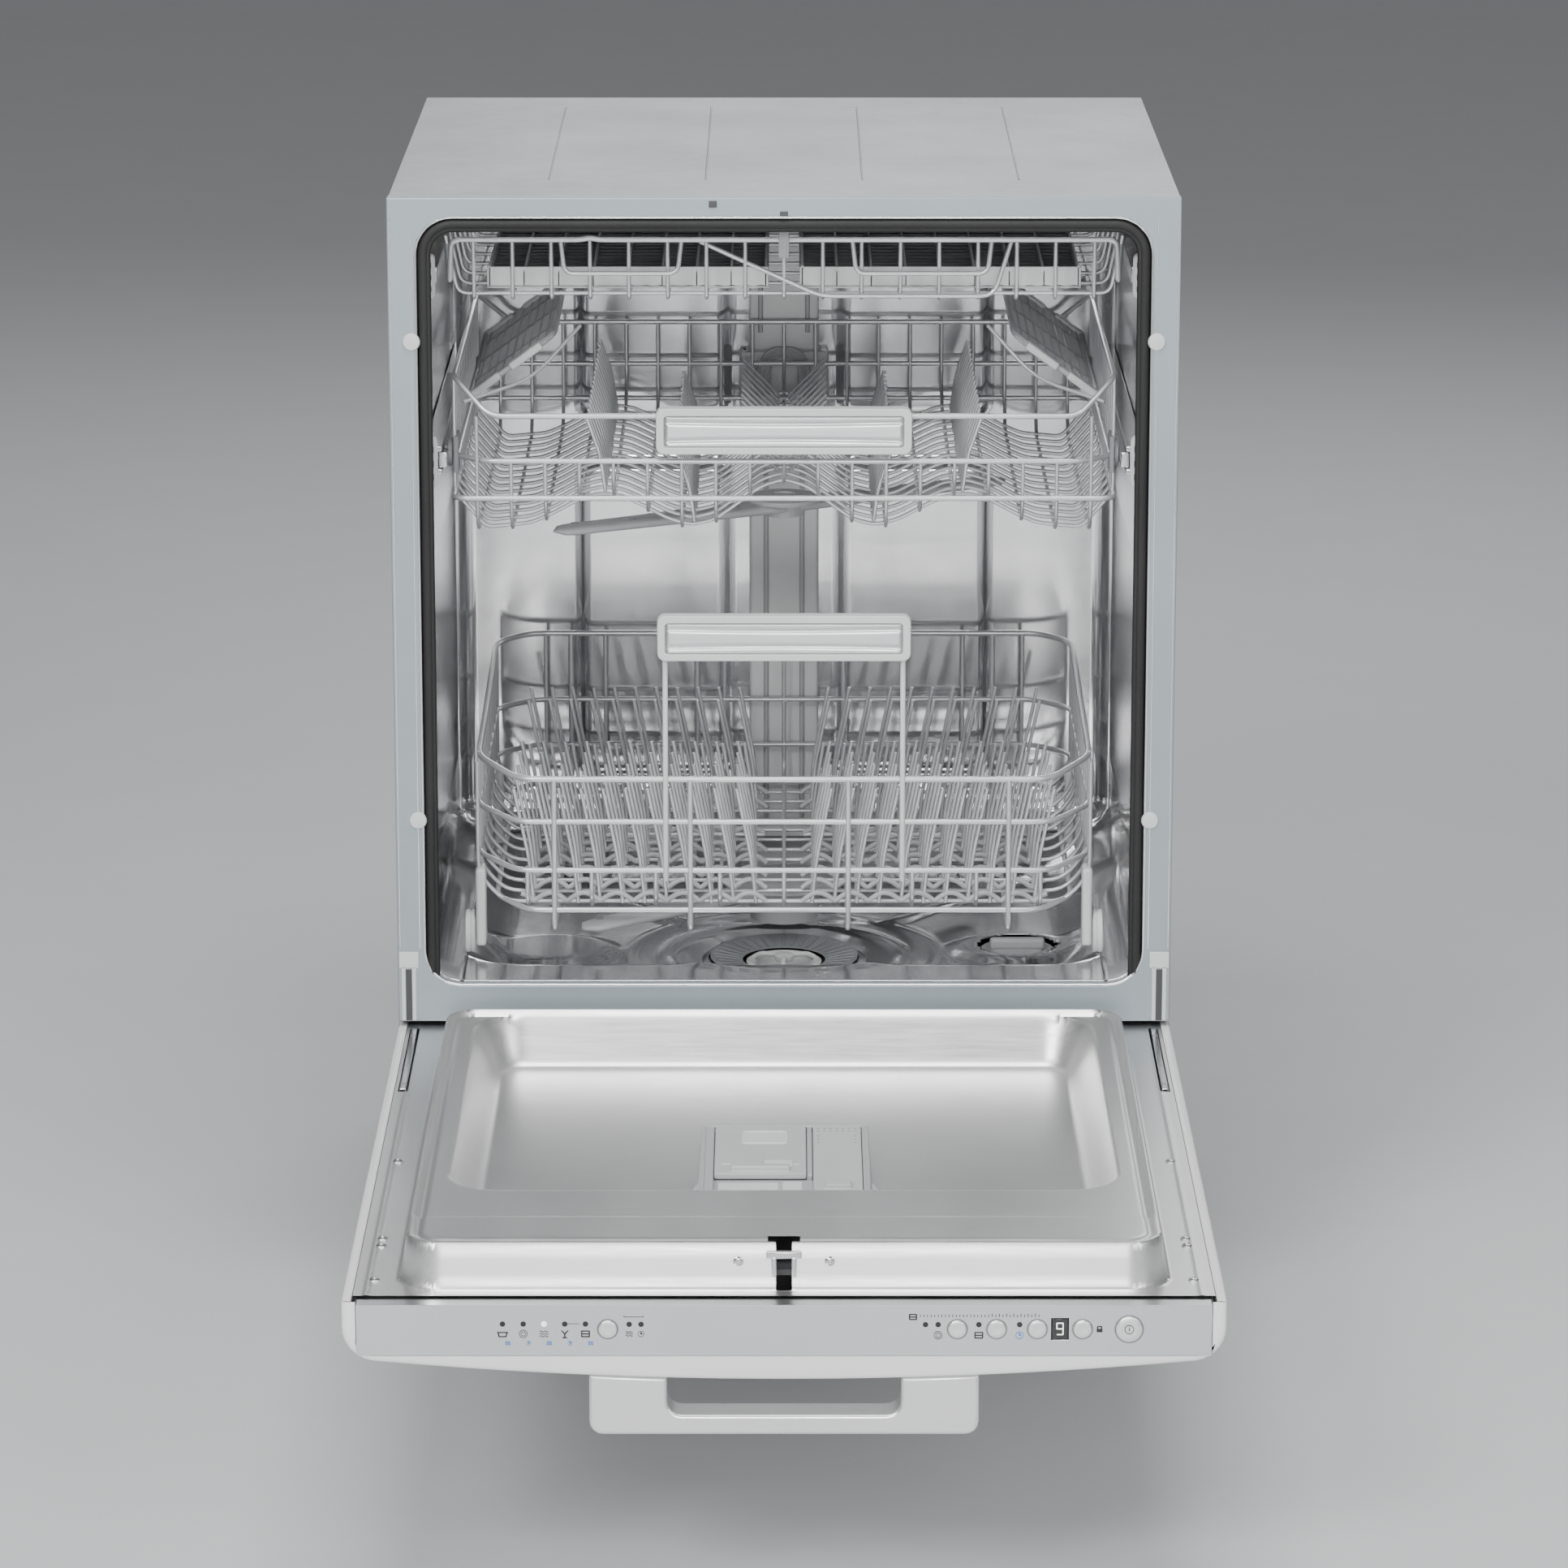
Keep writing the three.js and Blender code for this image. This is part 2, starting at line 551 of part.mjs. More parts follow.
function lowerBasket() {
  const h = lowerHalf;
  const f = basketFront + wire / 2 + 4;
  const b = basketBack;
  const pieces = [];
  pieces.push(...wires([[-h + 34, f, lowerRim], [h - 34, f, lowerRim], [h, f + 60, lowerRim + 4],
    [h, b - 30, lowerRim + 22], [h - 26, b, lowerRim + 23], [-h + 26, b, lowerRim + 23],
      [-h, b - 30, lowerRim + 22],
    [-h, f + 60, lowerRim + 4]], wire, true));
  pieces.push(...loop(-h, h, f, b, level(117), 30));
  pieces.push(...loop(-h, h, f, b, level(78), 30));
  for (const x of spread(-h + 44, h - 44, 6)) {
    pieces.push(...wires([[x, f, lowerRim], [x, f + 2, lowerFloor + 16], [x, f + 22, lowerFloor],
      [x, b - 22, lowerFloor], [x, b - 2, lowerFloor + 16], [x, b, lowerRim + 23]]));
  }
  for (const y of spread(f + 62, b - 46, 4)) {
    pieces.push(...wires([[-h, y, level(124)], [-h, y, lowerFloor + 20], [-h + 24, y, lowerFloor - 2],
      [h - 24, y, lowerFloor - 2], [h, y, lowerFloor + 20], [h, y, level(124)]]));
  }
  for (const x of [-h, h]) {
    for (const y of wheelYs) {
      pieces.push(box(x - 2, x + 2, y - 9, y + 9, wheelZ - 9, lowerFloor + 40));
    }
  }
  for (const y of fixedRows) {
    for (const s of [-1, 1]) pieces.push(...tineRow(y, s, lowerFloor + wire - 1));
  }
  let body = join(pieces);
  for (const y of wheelYs) {
    for (const x of [-h, h]) body = body.subtract(cylinder('x', 3.6, 8, x, y, wheelZ, 12));
  }
  return body;
}
add('lower_basket', lowerBasket(), 'wire');

wheelYs.forEach((y, row) => {
  sides.forEach(([side, sign]) => {
    const x = lowerHalf + 2 + gap + wheelWide / 2;
    const tyre = cylinder('x', wheelRadius, wheelWide, sign * x, y, wheelZ, 24);
    const axle = cylinder('x', 3.2, wheelWide + 12, sign * (x - 6), y, wheelZ, 12);
    add(`wheel_${row ? 'rear' : 'front'}_${side}`, join(tyre, axle), 'grey');
  });
});

const lowerGripZ = lowerRim + (upperLow - lowerRim - gripHigh) * gripPlace;
function lowerGrip() {
  const y = basketFront + wire / 2 + 4 - wire - gap;
  const grip = basketGrip(lowerGripZ, y + wire / 2 + 4);
  const legs = [-gripHalf + 6, gripHalf - 6].flatMap((x) => wires([[x, y, lowerGripZ + 8],
    [x, y, level(70)]], 4));
  return join(grip, legs);
}
add('lower_basket_handle', lowerGrip(), 'grey');

for (const [side, sign] of sides) {
  add(`tine_rack_${side}`, join(tineRow(foldRow, sign, lowerFloor + wire + 2.6)), 'wire');
}

// ---------------------------------------------------------------- door
const doorY = (u) => hingeY - u; // place on the open door, u from the hinge towards the top edge
const doorEnd = -doorReach;
const tailY = doorY(-doorTail);
const fasciaY = doorEnd + buttonProud;
const fasciaTop = flangeZ - 2;
const fasciaLow = fasciaTop - fasciaHigh;
const panelLow = flangeZ - skinSide - skinBulge;

function skinOutline(grow) {
  const points = [];
  const r = 22;
  const w = half - grow;
  const low = (x) => flangeZ - skinSide - skinBulge * (1 - (x / half) ** 2) + grow;
  points.push(new THREE.Vector2(w, flangeZ + (grow ? 40 : 0)),
    new THREE.Vector2(-w, flangeZ + (grow ? 40 : 0)));
  for (let i = 0; i <= 4; i++) {
    const a = Math.PI + i / 4 * Math.PI / 2;
    points.push(new THREE.Vector2(-w + r + r * Math.cos(a), low(-w + r) + r + r * Math.sin(a)));
  }
  for (const x of spread(-w + r, w - r, 15).slice(1, -1)) points.push(new THREE.Vector2(x, low(x)));
  for (let i = 0; i <= 4; i++) {
    const a = Math.PI * 1.5 + i / 4 * Math.PI / 2;
    points.push(new THREE.Vector2(w - r + r * Math.cos(a), low(w - r) + r + r * Math.sin(a)));
  }
  return points;
}

const rimWide = 6.6; // white edge beside the liner
const linerHalf = half - rimWide - gap;
const linerLow = flangeZ - sheet;
function doorOuterPanel() {
  const outer = along(skinOutline(0), fasciaY + 1, tailY);
  const inner = along(skinOutline(skinWall), fasciaY + 1 + skinWall, tailY - skinWall)
    .subtract(box(-half, half, doorEnd - 9, 90, linerLow - gap, 400));
  const seat = box(-linerHalf - gap, linerHalf + gap, fasciaY + 1 + skinWall, tailY - skinWall,
    linerLow - gap, 400);
  const window = box(-fasciaHalf - gap, fasciaHalf + gap, doorEnd - 5, fasciaY + 14, fasciaLow - gap, 400);
  return outer.subtract(inner).subtract(seat).subtract(window);
}
add('door_outer_panel', doorOuterPanel(), 'white');

const islandY = [-islandEnd, doorY(islandStart)];
const rimTop = 6; // width of the liner's edge behind the pan
const panY = [-islandEnd + 128, islandY[1] - rimTop];
const panHalf = islandHalf - panWall;
const slotX = [linerHalf - 9, linerHalf - 3];
const slotY = [-170, hingeY + 5];
const latchHalf = 22;
const latchDeep = 30;
function doorLiner() {
  const plate = box(-linerHalf, linerHalf, fasciaY + 15, tailY - skinWall - gap, linerLow, flangeZ);
  const island = raised(outline(-islandHalf, islandHalf, ...islandY, 26), linerLow, islandZ);
  const under = raised(outline(-islandHalf + sheet, islandHalf - sheet, islandY[0] + sheet,
    islandY[1] - sheet, 24),
    linerLow - 1, islandZ - sheet);
  const slope = 18;
  const floorZ = islandZ - panDepth;
  const pan = (g) => taper([-panHalf + slope - g, panHalf - slope + g, panY[0] + slope - g,
    panY[1] - slope + g],
    [-panHalf - g, panHalf + g, panY[0] - g, panY[1] + g], floorZ - g, islandZ + (g ? 0 : 1));
  let body = join(plate, island).subtract(under);
  body = body.add(pan(sheet)).subtract(pan(0));
  for (const s of [-1, 1]) {
    const cut = box(slotX[0], slotX[1], ...slotY, linerLow - 1, flangeZ + 1);
    body = body.subtract(mirrored(cut, s));
  }
  body = body.subtract(box(-latchHalf, latchHalf, islandY[0] - 1, islandY[0] + latchDeep, flangeZ + 8,
    islandZ + 1));
  const hole = box(dispenser.x[0] + 6, dispenser.x[1] - 6, dispenser.y[0] + 6, dispenser.y[1] - 6,
    floorZ - 9, floorZ + 9);
  return body.subtract(hole);
}
const dispenser = { x: [-60, 62], y: [-islandEnd + 195, -islandEnd + 358] };
add('door_liner', doorLiner(), 'steel');

const panFloor = islandZ - panDepth;
const lidX = [-50, 16];
const lidY = [dispenser.y[0] + 44, dispenser.y[1] - 2];
const flapX = [21, 56];
const dispenserTop = panFloor + 14;
function dispenserHousing() {
  const block = box(...dispenser.x, ...dispenser.y, panFloor + gap, dispenserTop);
  const tank = box(dispenser.x[0] + 7, dispenser.x[1] - 7, dispenser.y[0] + 7, dispenser.y[1] - 7,
    panFloor - 24,
    panFloor + gap + 1);
  const cup = box(lidX[0] + 8, lidX[1] - 8, lidY[0] + 40, lidY[1] - 8, panFloor - 18, dispenserTop + 1);
  const fill = cylinder('z', 10, 30, (flapX[0] + flapX[1]) / 2, lidY[1] - 30, dispenserTop, 16);
  const bay = box(lidX[0] - gap, flapX[1] + gap, dispenser.y[0] + 4, dispenser.y[1] - 1, dispenserTop - 4,
    dispenserTop + 1);
  return join(block, tank).subtract(cup).subtract(fill).subtract(bay);
}
add('dispenser_housing', dispenserHousing(), 'grey');
function dispenserLid() {
  const plate = box(...lidX, lidY[0], lidY[1] - 1, dispenserTop - 4 + gap, dispenserTop + 1);
  const grip = box(lidX[0] + 12, lidX[1] - 12, lidY[0] + 4, lidY[0] + 12, dispenserTop, dispenserTop + 5);
  return join(plate, grip);
}
add('dispenser_lid', dispenserLid(), 'white');
function rinseAidFlap() {
  const plate = box(...flapX, dispenser.y[0] + 6, lidY[1] - 1, dispenserTop - 4 + gap, dispenserTop + 1);
  return join(plate, box(flapX[0] + 8, flapX[1] - 8, dispenser.y[0] + 8, dispenser.y[0] + 22, dispenserTop,
    dispenserTop + 4));
}
add('rinse_aid_flap', rinseAidFlap(), 'white');

function doorLatch() {
  const cage = box(-latchHalf + gap, latchHalf - gap, islandY[0] + 1, islandY[0] + latchDeep - gap,
    flangeZ + 8 + gap, islandZ - 1);
  return cage.subtract(box(-12, 12, islandY[0] - 1, islandY[0] + latchDeep - 4, flangeZ + 11, islandZ + 1));
}
add('door_latch', doorLatch(), 'dark');
add('strike', strike(), 'frame');

// ---------------------------------------------------------------- fascia and controls
const controlZ = (fasciaTop + fasciaLow) / 2 + 1;
const buttonXs = [170 - fasciaHalf, ...[172, 145.5, 118, 87.5, 56].map((inset) => fasciaHalf - inset)];
const buttonRadius = (i) => (i === 5 ? 9.1 : 6.4);
const displayBox = { x: fasciaHalf - 102.7, half: 6, high: 15.5 };
function controlFascia() {
  let body = box(-fasciaHalf, fasciaHalf, fasciaY, fasciaY + 13, fasciaLow, fasciaTop);
  body = body.subtract(box(-fasciaHalf + 3, fasciaHalf - 3, fasciaY + 3, fasciaY + 14, fasciaLow + 3,
    fasciaTop - 3));
  buttonXs.forEach((x, i) => {
    body = body.subtract(cylinder('y', buttonRadius(i) + gap, 20, x, fasciaY, controlZ, 20));
  });
  return body.subtract(box(displayBox.x - displayBox.half, displayBox.x + displayBox.half, fasciaY - 1,
    fasciaY + 4,
    controlZ - displayBox.high / 2, controlZ + displayBox.high / 2));
}
add('control_fascia', controlFascia(), 'steel');
buttonXs.forEach((x, i) => {
  const cap = cylinder('y', buttonRadius(i), 9, x, doorEnd + 4.5, controlZ, 20);
  add(`button_${i + 1}`, cap, 'satin');
});
add('display', box(displayBox.x - displayBox.half + gap, displayBox.x + displayBox.half - gap,
  fasciaY + 0.5,
  fasciaY + 6, controlZ - displayBox.high / 2 + gap, controlZ + displayBox.high / 2 - gap), 'dark');

const handleHalf = 132;
const handleDrop = 40;
const fingerHalf = 79.5;
const handleBar = 14;
function doorHandle() {
  const top = panelLow + 6;
  const low = panelLow - handleDrop;
  const y0 = fasciaY + 4;
  const body = along(outline(-handleHalf, handleHalf, low, top + 20, 9, 4), y0, y0 + 26);
  const finger = along(outline(-fingerHalf, fingerHalf, low + handleBar, top + 30, 10, 4), y0 - 1, y0 + 27);
  const skin = along(skinOutline(0), fasciaY - 40, tailY).translate([0, 0, -gap]);
  const above = box(-half, half, doorEnd - 5, 60, panelLow + 12, 400);
  return body.subtract(finger).subtract(skin).subtract(above);
}
add('door_handle', doorHandle(), 'satin');

for (const [side, sign] of sides) {
  const arm = box(slotX[0] + gap, slotX[1] - gap, slotY[0] + 1, slotY[1] - 1, linerLow - 18, flangeZ + 1);
  add(`hinge_arm_${side}`, mirrored(arm, sign), 'steel');
}

export default root;
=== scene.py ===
"""Built-in dishwasher, door open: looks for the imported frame. Metres, +Z up, the open door towards -Y."""
import json
import math
import random

import bmesh
import bpy
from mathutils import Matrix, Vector

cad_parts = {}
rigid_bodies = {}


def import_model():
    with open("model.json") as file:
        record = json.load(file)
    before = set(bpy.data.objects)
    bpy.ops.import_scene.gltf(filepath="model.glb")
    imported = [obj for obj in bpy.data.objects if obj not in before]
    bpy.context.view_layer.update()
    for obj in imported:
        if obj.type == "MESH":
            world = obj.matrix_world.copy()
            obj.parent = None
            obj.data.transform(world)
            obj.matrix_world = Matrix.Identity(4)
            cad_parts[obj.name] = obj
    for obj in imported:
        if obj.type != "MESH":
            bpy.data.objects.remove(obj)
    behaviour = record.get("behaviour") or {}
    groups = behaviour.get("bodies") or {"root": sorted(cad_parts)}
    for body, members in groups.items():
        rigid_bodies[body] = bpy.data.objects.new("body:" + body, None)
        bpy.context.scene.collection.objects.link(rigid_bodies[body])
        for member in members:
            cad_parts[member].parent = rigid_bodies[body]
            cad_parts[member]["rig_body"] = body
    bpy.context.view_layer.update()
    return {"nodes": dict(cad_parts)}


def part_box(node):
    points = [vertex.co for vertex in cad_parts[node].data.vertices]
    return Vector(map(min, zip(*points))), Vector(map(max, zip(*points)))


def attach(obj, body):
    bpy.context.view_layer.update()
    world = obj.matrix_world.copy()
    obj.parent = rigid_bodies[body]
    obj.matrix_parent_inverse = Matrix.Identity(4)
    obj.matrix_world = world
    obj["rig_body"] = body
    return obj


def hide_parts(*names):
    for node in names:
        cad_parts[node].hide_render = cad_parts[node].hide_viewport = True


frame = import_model()
NODES = frame["nodes"]
MM = 0.001


# ---------------------------------------------------------------- places taken from the frame
class Box:
    """A CAD node's box at rest."""

    def __init__(self, node):
        low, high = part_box(node)
        self.x0, self.y0, self.z0 = low
        self.x1, self.y1, self.z1 = high
        self.mid = ((self.x0 + self.x1) / 2, (self.y0 + self.y1) / 2, (self.z0 + self.z1) / 2)
        self.wide = self.x1 - self.x0


TUB = Box("tub")
FRAME = Box("front_frame")
LINER = Box("door_liner")
PANEL = Box("door_outer_panel")
FASCIA = Box("control_fascia")
UPPER = Box("upper_basket")
LOWER = Box("lower_basket")
TRAY = Box("cutlery_tray")
FRONT = FRAME.y0  # the cabinet's front plane
SHEET = 1.2 * MM
LIP = TUB.z0 + 24 * MM + SHEET  # lower edge of the tub's mouth
TUB_HALF = TUB.x1 - SHEET
TUB_TOP = TUB.z1 - SHEET
TUB_BACK = TUB.y1 - SHEET
CORNER = 28 * MM
WIRE = 2.2 * MM  # radius of the thick basket wires
THIN = 1.5 * MM
SUMP_Y = Box("sump").mid[1]


# ---------------------------------------------------------------- materials
def material(name, colour, rough, metal=0.0, grain=None, grain_size=300, grain_amount=0.15, bump=0.05,
             coat=0.0, stretch=(1, 1, 1), shade=0.08, aniso=0.0):
    """A surface whose colour, roughness and bump come from noise in object space."""
    mat = bpy.data.materials.new(name)
    mat.use_nodes = True
    tree = mat.node_tree
    links = tree.links
    shader = tree.nodes["Principled BSDF"]
    shader.inputs["Metallic"].default_value = metal
    shader.inputs["Coat Weight"].default_value = coat
    shader.inputs["Coat Roughness"].default_value = 0.06
    shader.inputs["Anisotropic"].default_value = aniso
    where = tree.nodes.new("ShaderNodeTexCoord")
    mapping = tree.nodes.new("ShaderNodeMapping")
    mapping.inputs["Scale"].default_value = stretch
    links.new(where.outputs["Object"], mapping.inputs["Vector"])
    fine = tree.nodes.new("ShaderNodeTexNoise")
    fine.inputs["Scale"].default_value = grain_size
    fine.inputs["Detail"].default_value = 4
    wide = tree.nodes.new("ShaderNodeTexNoise")
    wide.inputs["Scale"].default_value = 9
    wide.inputs["Detail"].default_value = 3
    links.new(mapping.outputs["Vector"], fine.inputs["Vector"])
    links.new(where.outputs["Object"], wide.inputs["Vector"])
    tint = tree.nodes.new("ShaderNodeValToRGB")
    tint.color_ramp.elements[0].position = 0.3
    tint.color_ramp.elements[1].position = 0.7
    dark = [c * (1 - shade) for c in colour]
    light = [min(1, c * (1 + shade)) for c in (grain or colour)]
    tint.color_ramp.elements[0].color = (*dark, 1)
    tint.color_ramp.elements[1].color = (*light, 1)
    links.new(wide.outputs["Fac"], tint.inputs["Fac"])
    links.new(tint.outputs["Color"], shader.inputs["Base Color"])
    spread = tree.nodes.new("ShaderNodeMapRange")
    spread.inputs["To Min"].default_value = max(0.02, rough * (1 - grain_amount))
    spread.inputs["To Max"].default_value = min(1, rough * (1 + grain_amount))
    links.new(fine.outputs["Fac"], spread.inputs["Value"])
    links.new(spread.outputs["Result"], shader.inputs["Roughness"])
    relief = tree.nodes.new("ShaderNodeBump")
    relief.inputs["Strength"].default_value = bump
    relief.inputs["Distance"].default_value = 0.0004
    links.new(fine.outputs["Fac"], relief.inputs["Height"])
    links.new(relief.outputs["Normal"], shader.inputs["Normal"])
    return mat


M = {
    "tub": material("tub_steel", (0.70, 0.70, 0.71), 0.14, 1, grain_size=60, grain_amount=0.4, bump=0.05),
    "liner": material("liner_steel", (0.80, 0.80, 0.795), 0.38, 1, grain_size=420, stretch=(0.06, 1, 1),
                      grain_amount=0.22, bump=0.08, shade=0.03),
    "fascia": material("fascia_steel", (0.70, 0.71, 0.72), 0.33, 1, grain_size=600, stretch=(0.03, 1, 1),
                       grain_amount=0.25, bump=0.06, shade=0.03),
    "frame": material("frame_coat", (0.33, 0.38, 0.41), 0.42, 0.35, grain_size=900, grain_amount=0.2, bump=0.05,
                      shade=0.03),
    "galvanised": material("galvanised_steel", (0.34, 0.36, 0.37), 0.4, 0.9, grain_size=45, grain_amount=0.35,
                           bump=0.03, shade=0.12),
    "bright": material("bright_steel", (0.72, 0.72, 0.73), 0.2, 1, grain_size=200, bump=0.03),
    "wire": material("coated_wire", (0.60, 0.61, 0.62), 0.3, 0.55, grain_size=500, bump=0.04, coat=0.3, shade=0.06),
    "white": material("white_enamel", (0.93, 0.93, 0.92), 0.16, 0, grain_size=140, grain_amount=0.25, bump=0.015,
                      coat=0.7, shade=0.01),
    "satin": material("satin_aluminium", (0.86, 0.86, 0.86), 0.3, 0.85, grain_size=800, stretch=(0.04, 1, 1),
                      grain_amount=0.2, bump=0.05, shade=0.02),
    "grey": material("grey_plastic", (0.42, 0.43, 0.44), 0.42, 0, grain_size=900, bump=0.12, shade=0.05),
    "pale": material("pale_plastic", (0.66, 0.67, 0.67), 0.38, 0, grain_size=900, bump=0.1, shade=0.04),
    "dim": material("dim_plastic", (0.27, 0.28, 0.29), 0.48, 0, grain_size=800, bump=0.14, shade=0.08),
    "dark": material("dark_plastic", (0.06, 0.06, 0.065), 0.5, 0, grain_size=700, bump=0.15, shade=0.15),
    "rubber": material("seal_rubber", (0.012, 0.012, 0.012), 0.62, 0, grain_size=350, bump=0.2, shade=0.3),
    "black": material("window_black", (0.008, 0.008, 0.009), 0.08, 0, grain_size=60, bump=0.0, coat=1.0, shade=0.1),
    "ink": material("printed_ink", (0.02, 0.02, 0.022), 0.5, 0, grain_size=900, bump=0.05, shade=0.1),
    "blue": material("blue_ink", (0.02, 0.18, 0.55), 0.5, 0, grain_size=900, bump=0.05, shade=0.08),
    "lamp": material("lamp_white", (0.95, 0.95, 0.93), 0.25, 0, grain_size=500, bump=0.02, shade=0.02),
}


def glow(mat, strength):
    shader = mat.node_tree.nodes["Principled BSDF"]
    shader.inputs["Emission Color"].default_value = (1, 1, 0.97, 1)
    shader.inputs["Emission Strength"].default_value = strength


glow(M["lamp"], 1.2)


# ---------------------------------------------------------------- mesh helpers
def piece(name, verts, faces, look, body, stands_for=(), smooth=True, bevel=0.0, segments=2, thick=0.0, angle=35):
    mesh = bpy.data.meshes.new(name)
    mesh.from_pydata([tuple(v) for v in verts], [], faces)
    return finish_piece(name, mesh, look, body, stands_for, smooth, bevel, segments, thick, angle)


def finish_piece(name, mesh, look, body, stands_for=(), smooth=True, bevel=0.0, segments=2, thick=0.0, angle=35):
    tidy = bmesh.new()
    tidy.from_mesh(mesh)
    bmesh.ops.remove_doubles(tidy, verts=tidy.verts, dist=1e-6)
    bmesh.ops.recalc_face_normals(tidy, faces=tidy.faces)
    tidy.to_mesh(mesh)
    tidy.free()
    obj = bpy.data.objects.new(name, mesh)
    bpy.context.scene.collection.objects.link(obj)
    mesh.materials.append(M[look])
    if thick:
        solid = obj.modifiers.new("sheet", "SOLIDIFY")
        solid.thickness = thick
        solid.offset = 0
    if bevel:
        edge = obj.modifiers.new("edges", "BEVEL")
        edge.width = bevel
        edge.segments = segments
        edge.limit_method = "ANGLE"
        edge.angle_limit = math.radians(angle)
    mesh.shade_smooth()
    if smooth:
        mesh.set_sharp_from_angle(angle=math.radians(50))
    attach(obj, body)
    if stands_for:
        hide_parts(*stands_for)
    return obj


def refined(node, look, bevel=0.8 * MM, segments=2, name=None):
    """A CAD node with its flat faces joined and its edges rounded."""
    source = NODES[node]
    mesh = source.data.copy()
    work = bmesh.new()
    work.from_mesh(mesh)
    bmesh.ops.remove_doubles(work, verts=work.verts, dist=2e-5)
    bmesh.ops.dissolve_limit(work, angle_limit=math.radians(2), verts=work.verts, edges=work.edges)
    work.to_mesh(mesh)
    work.free()
    mesh.materials.clear()
    return finish_piece(name or node + "_skin", mesh, look, source["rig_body"], (node,), bevel=bevel,
                        segments=segments)


def rounded(points, radius, closed=False, steps=4):
    """A path whose corners are turned into arcs."""
    points = [Vector(p) for p in points]
    count = len(points)
    out = []
    for i, p in enumerate(points):
        if not closed and i in (0, count - 1):
            out.append(p)
            continue
        a = points[i - 1] - p
        b = points[(i + 1) % count] - p
        cut = min(radius, a.length * 0.45, b.length * 0.45)
        start = p + a.normalized() * cut
        end = p + b.normalized() * cut
        for k in range(steps + 1):
            t = k / steps
            out.append(start * (1 - t) ** 2 + p * 2 * t * (1 - t) + end * t * t)
    return out


def tube(points, radius, closed=False, sides=8):
    """Vertices and faces of a round wire along a path."""
    points = [Vector(p) for p in points]
    count = len(points)
    verts = []
    faces = []
    normal = None
    for i, p in enumerate(points):
        before = points[i - 1] if i or closed else points[0]
        after = points[(i + 1) % count] if i < count - 1 or closed else points[-1]
        way = (after - before).normalized()
        if normal is None:
            helper = Vector((0, 0, 1)) if abs(way.z) < 0.9 else Vector((0, 1, 0))
            normal = way.cross(helper).normalized()
        normal = (normal - way * normal.dot(way)).normalized()
        side = way.cross(normal)
        for k in range(sides):
            a = 2 * math.pi * k / sides
            verts.append(p + (normal * math.cos(a) + side * math.sin(a)) * radius)
    spans = count if closed else count - 1
    for i in range(spans):
        n = (i + 1) % count
        for k in range(sides):
            m = (k + 1) % sides
            faces.append((i * sides + k, i * sides + m, n * sides + m, n * sides + k))
    if not closed:
        faces.append(tuple(reversed(range(sides))))
        faces.append(tuple(range((count - 1) * sides, count * sides)))
    return verts, faces


class Bundle:
    """Several shapes gathered into one mesh."""

    def __init__(self):
        self.verts = []
        self.faces = []

    def put(self, verts, faces):
        base = len(self.verts)
        self.verts += [tuple(v) for v in verts]
        self.faces += [tuple(base + i for i in f) for f in faces]

    def wire(self, points, radius=WIRE, bend=8 * MM, closed=False, sides=8):
        self.put(*tube(rounded(points, bend, closed), radius, closed, sides))

    def block(self, x0, x1, y0, y1, z0, z1):
        v = [(x, y, z) for x in (x0, x1) for y in (y0, y1) for z in (z0, z1)]
        self.put(v, [(0, 1, 3, 2), (4, 6, 7, 5), (0, 4, 5, 1), (2, 3, 7, 6), (0, 2, 6, 4), (1, 5, 7, 3)])

    def lathe(self, profile, centre, axis="z", sides=40, cap=True):
        """A turned shape: profile is a list of (radius, height) from the bottom up."""
        verts = []
        for r, h in profile:
            for k in range(sides):
                a = 2 * math.pi * k / sides
                c, s = r * math.cos(a), r * math.sin(a)
                p = {"z": (c, s, h), "y": (c, h, s), "x": (h, c, s)}[axis]
                verts.append(tuple(centre[i] + p[i] for i in range(3)))
        faces = []
        for i in range(len(profile) - 1):
            for k in range(sides):
                m = (k + 1) % sides
                faces.append((i * sides + k, i * sides + m, (i + 1) * sides + m, (i + 1) * sides + k))
        if cap:
            faces.append(tuple(reversed(range(sides))))
            faces.append(tuple(range((len(profile) - 1) * sides, len(profile) * sides)))
        self.put(verts, faces)

    def make(self, name, look, body, stands_for=(), **more):
        return piece(name, self.verts, self.faces, look, body, stands_for, **more)


def spread(low, high, count):
    return [low + (high - low) * i / (count - 1) for i in range(count)]


def step(low, high, value):
    t = min(1, max(0, (value - low) / (high - low)))
    return t * t * (3 - 2 * t)


def inside(x, y, x0, x1, y0, y1, r):
    """Distance into a rectangle with round corners, positive inside."""
    cx, cy = (x0 + x1) / 2, (y0 + y1) / 2
    dx = abs(x - cx) - (x1 - x0) / 2 + r
    dy = abs(y - cy) - (y1 - y0) / 2 + r
    return r - math.hypot(max(dx, 0), max(dy, 0)) - min(max(dx, dy), 0)


def outline(x0, x1, y0, y1, r, steps=8):
    out = []
    for cx, cy, q in ((x1 - r, y1 - r, 0), (x0 + r, y1 - r, 1), (x0 + r, y0 + r, 2), (x1 - r, y0 + r, 3)):
        for i in range(steps + 1):
            a = (q + i / steps) * math.pi / 2
            out.append((cx + r * math.cos(a), cy + r * math.sin(a)))
    return out


def sheet_of(columns, rows, place, keep=lambda u, v: True):
    verts = [place(u, v) for v in rows for u in columns]
    n = len(columns)
    faces = [(j * n + i, j * n + i + 1, (j + 1) * n + i + 1, (j + 1) * n + i)
             for j in range(len(rows) - 1) for i in range(n - 1)
             if keep((columns[i] + columns[i + 1]) / 2, (rows[j] + rows[j + 1]) / 2)]
    return verts, faces


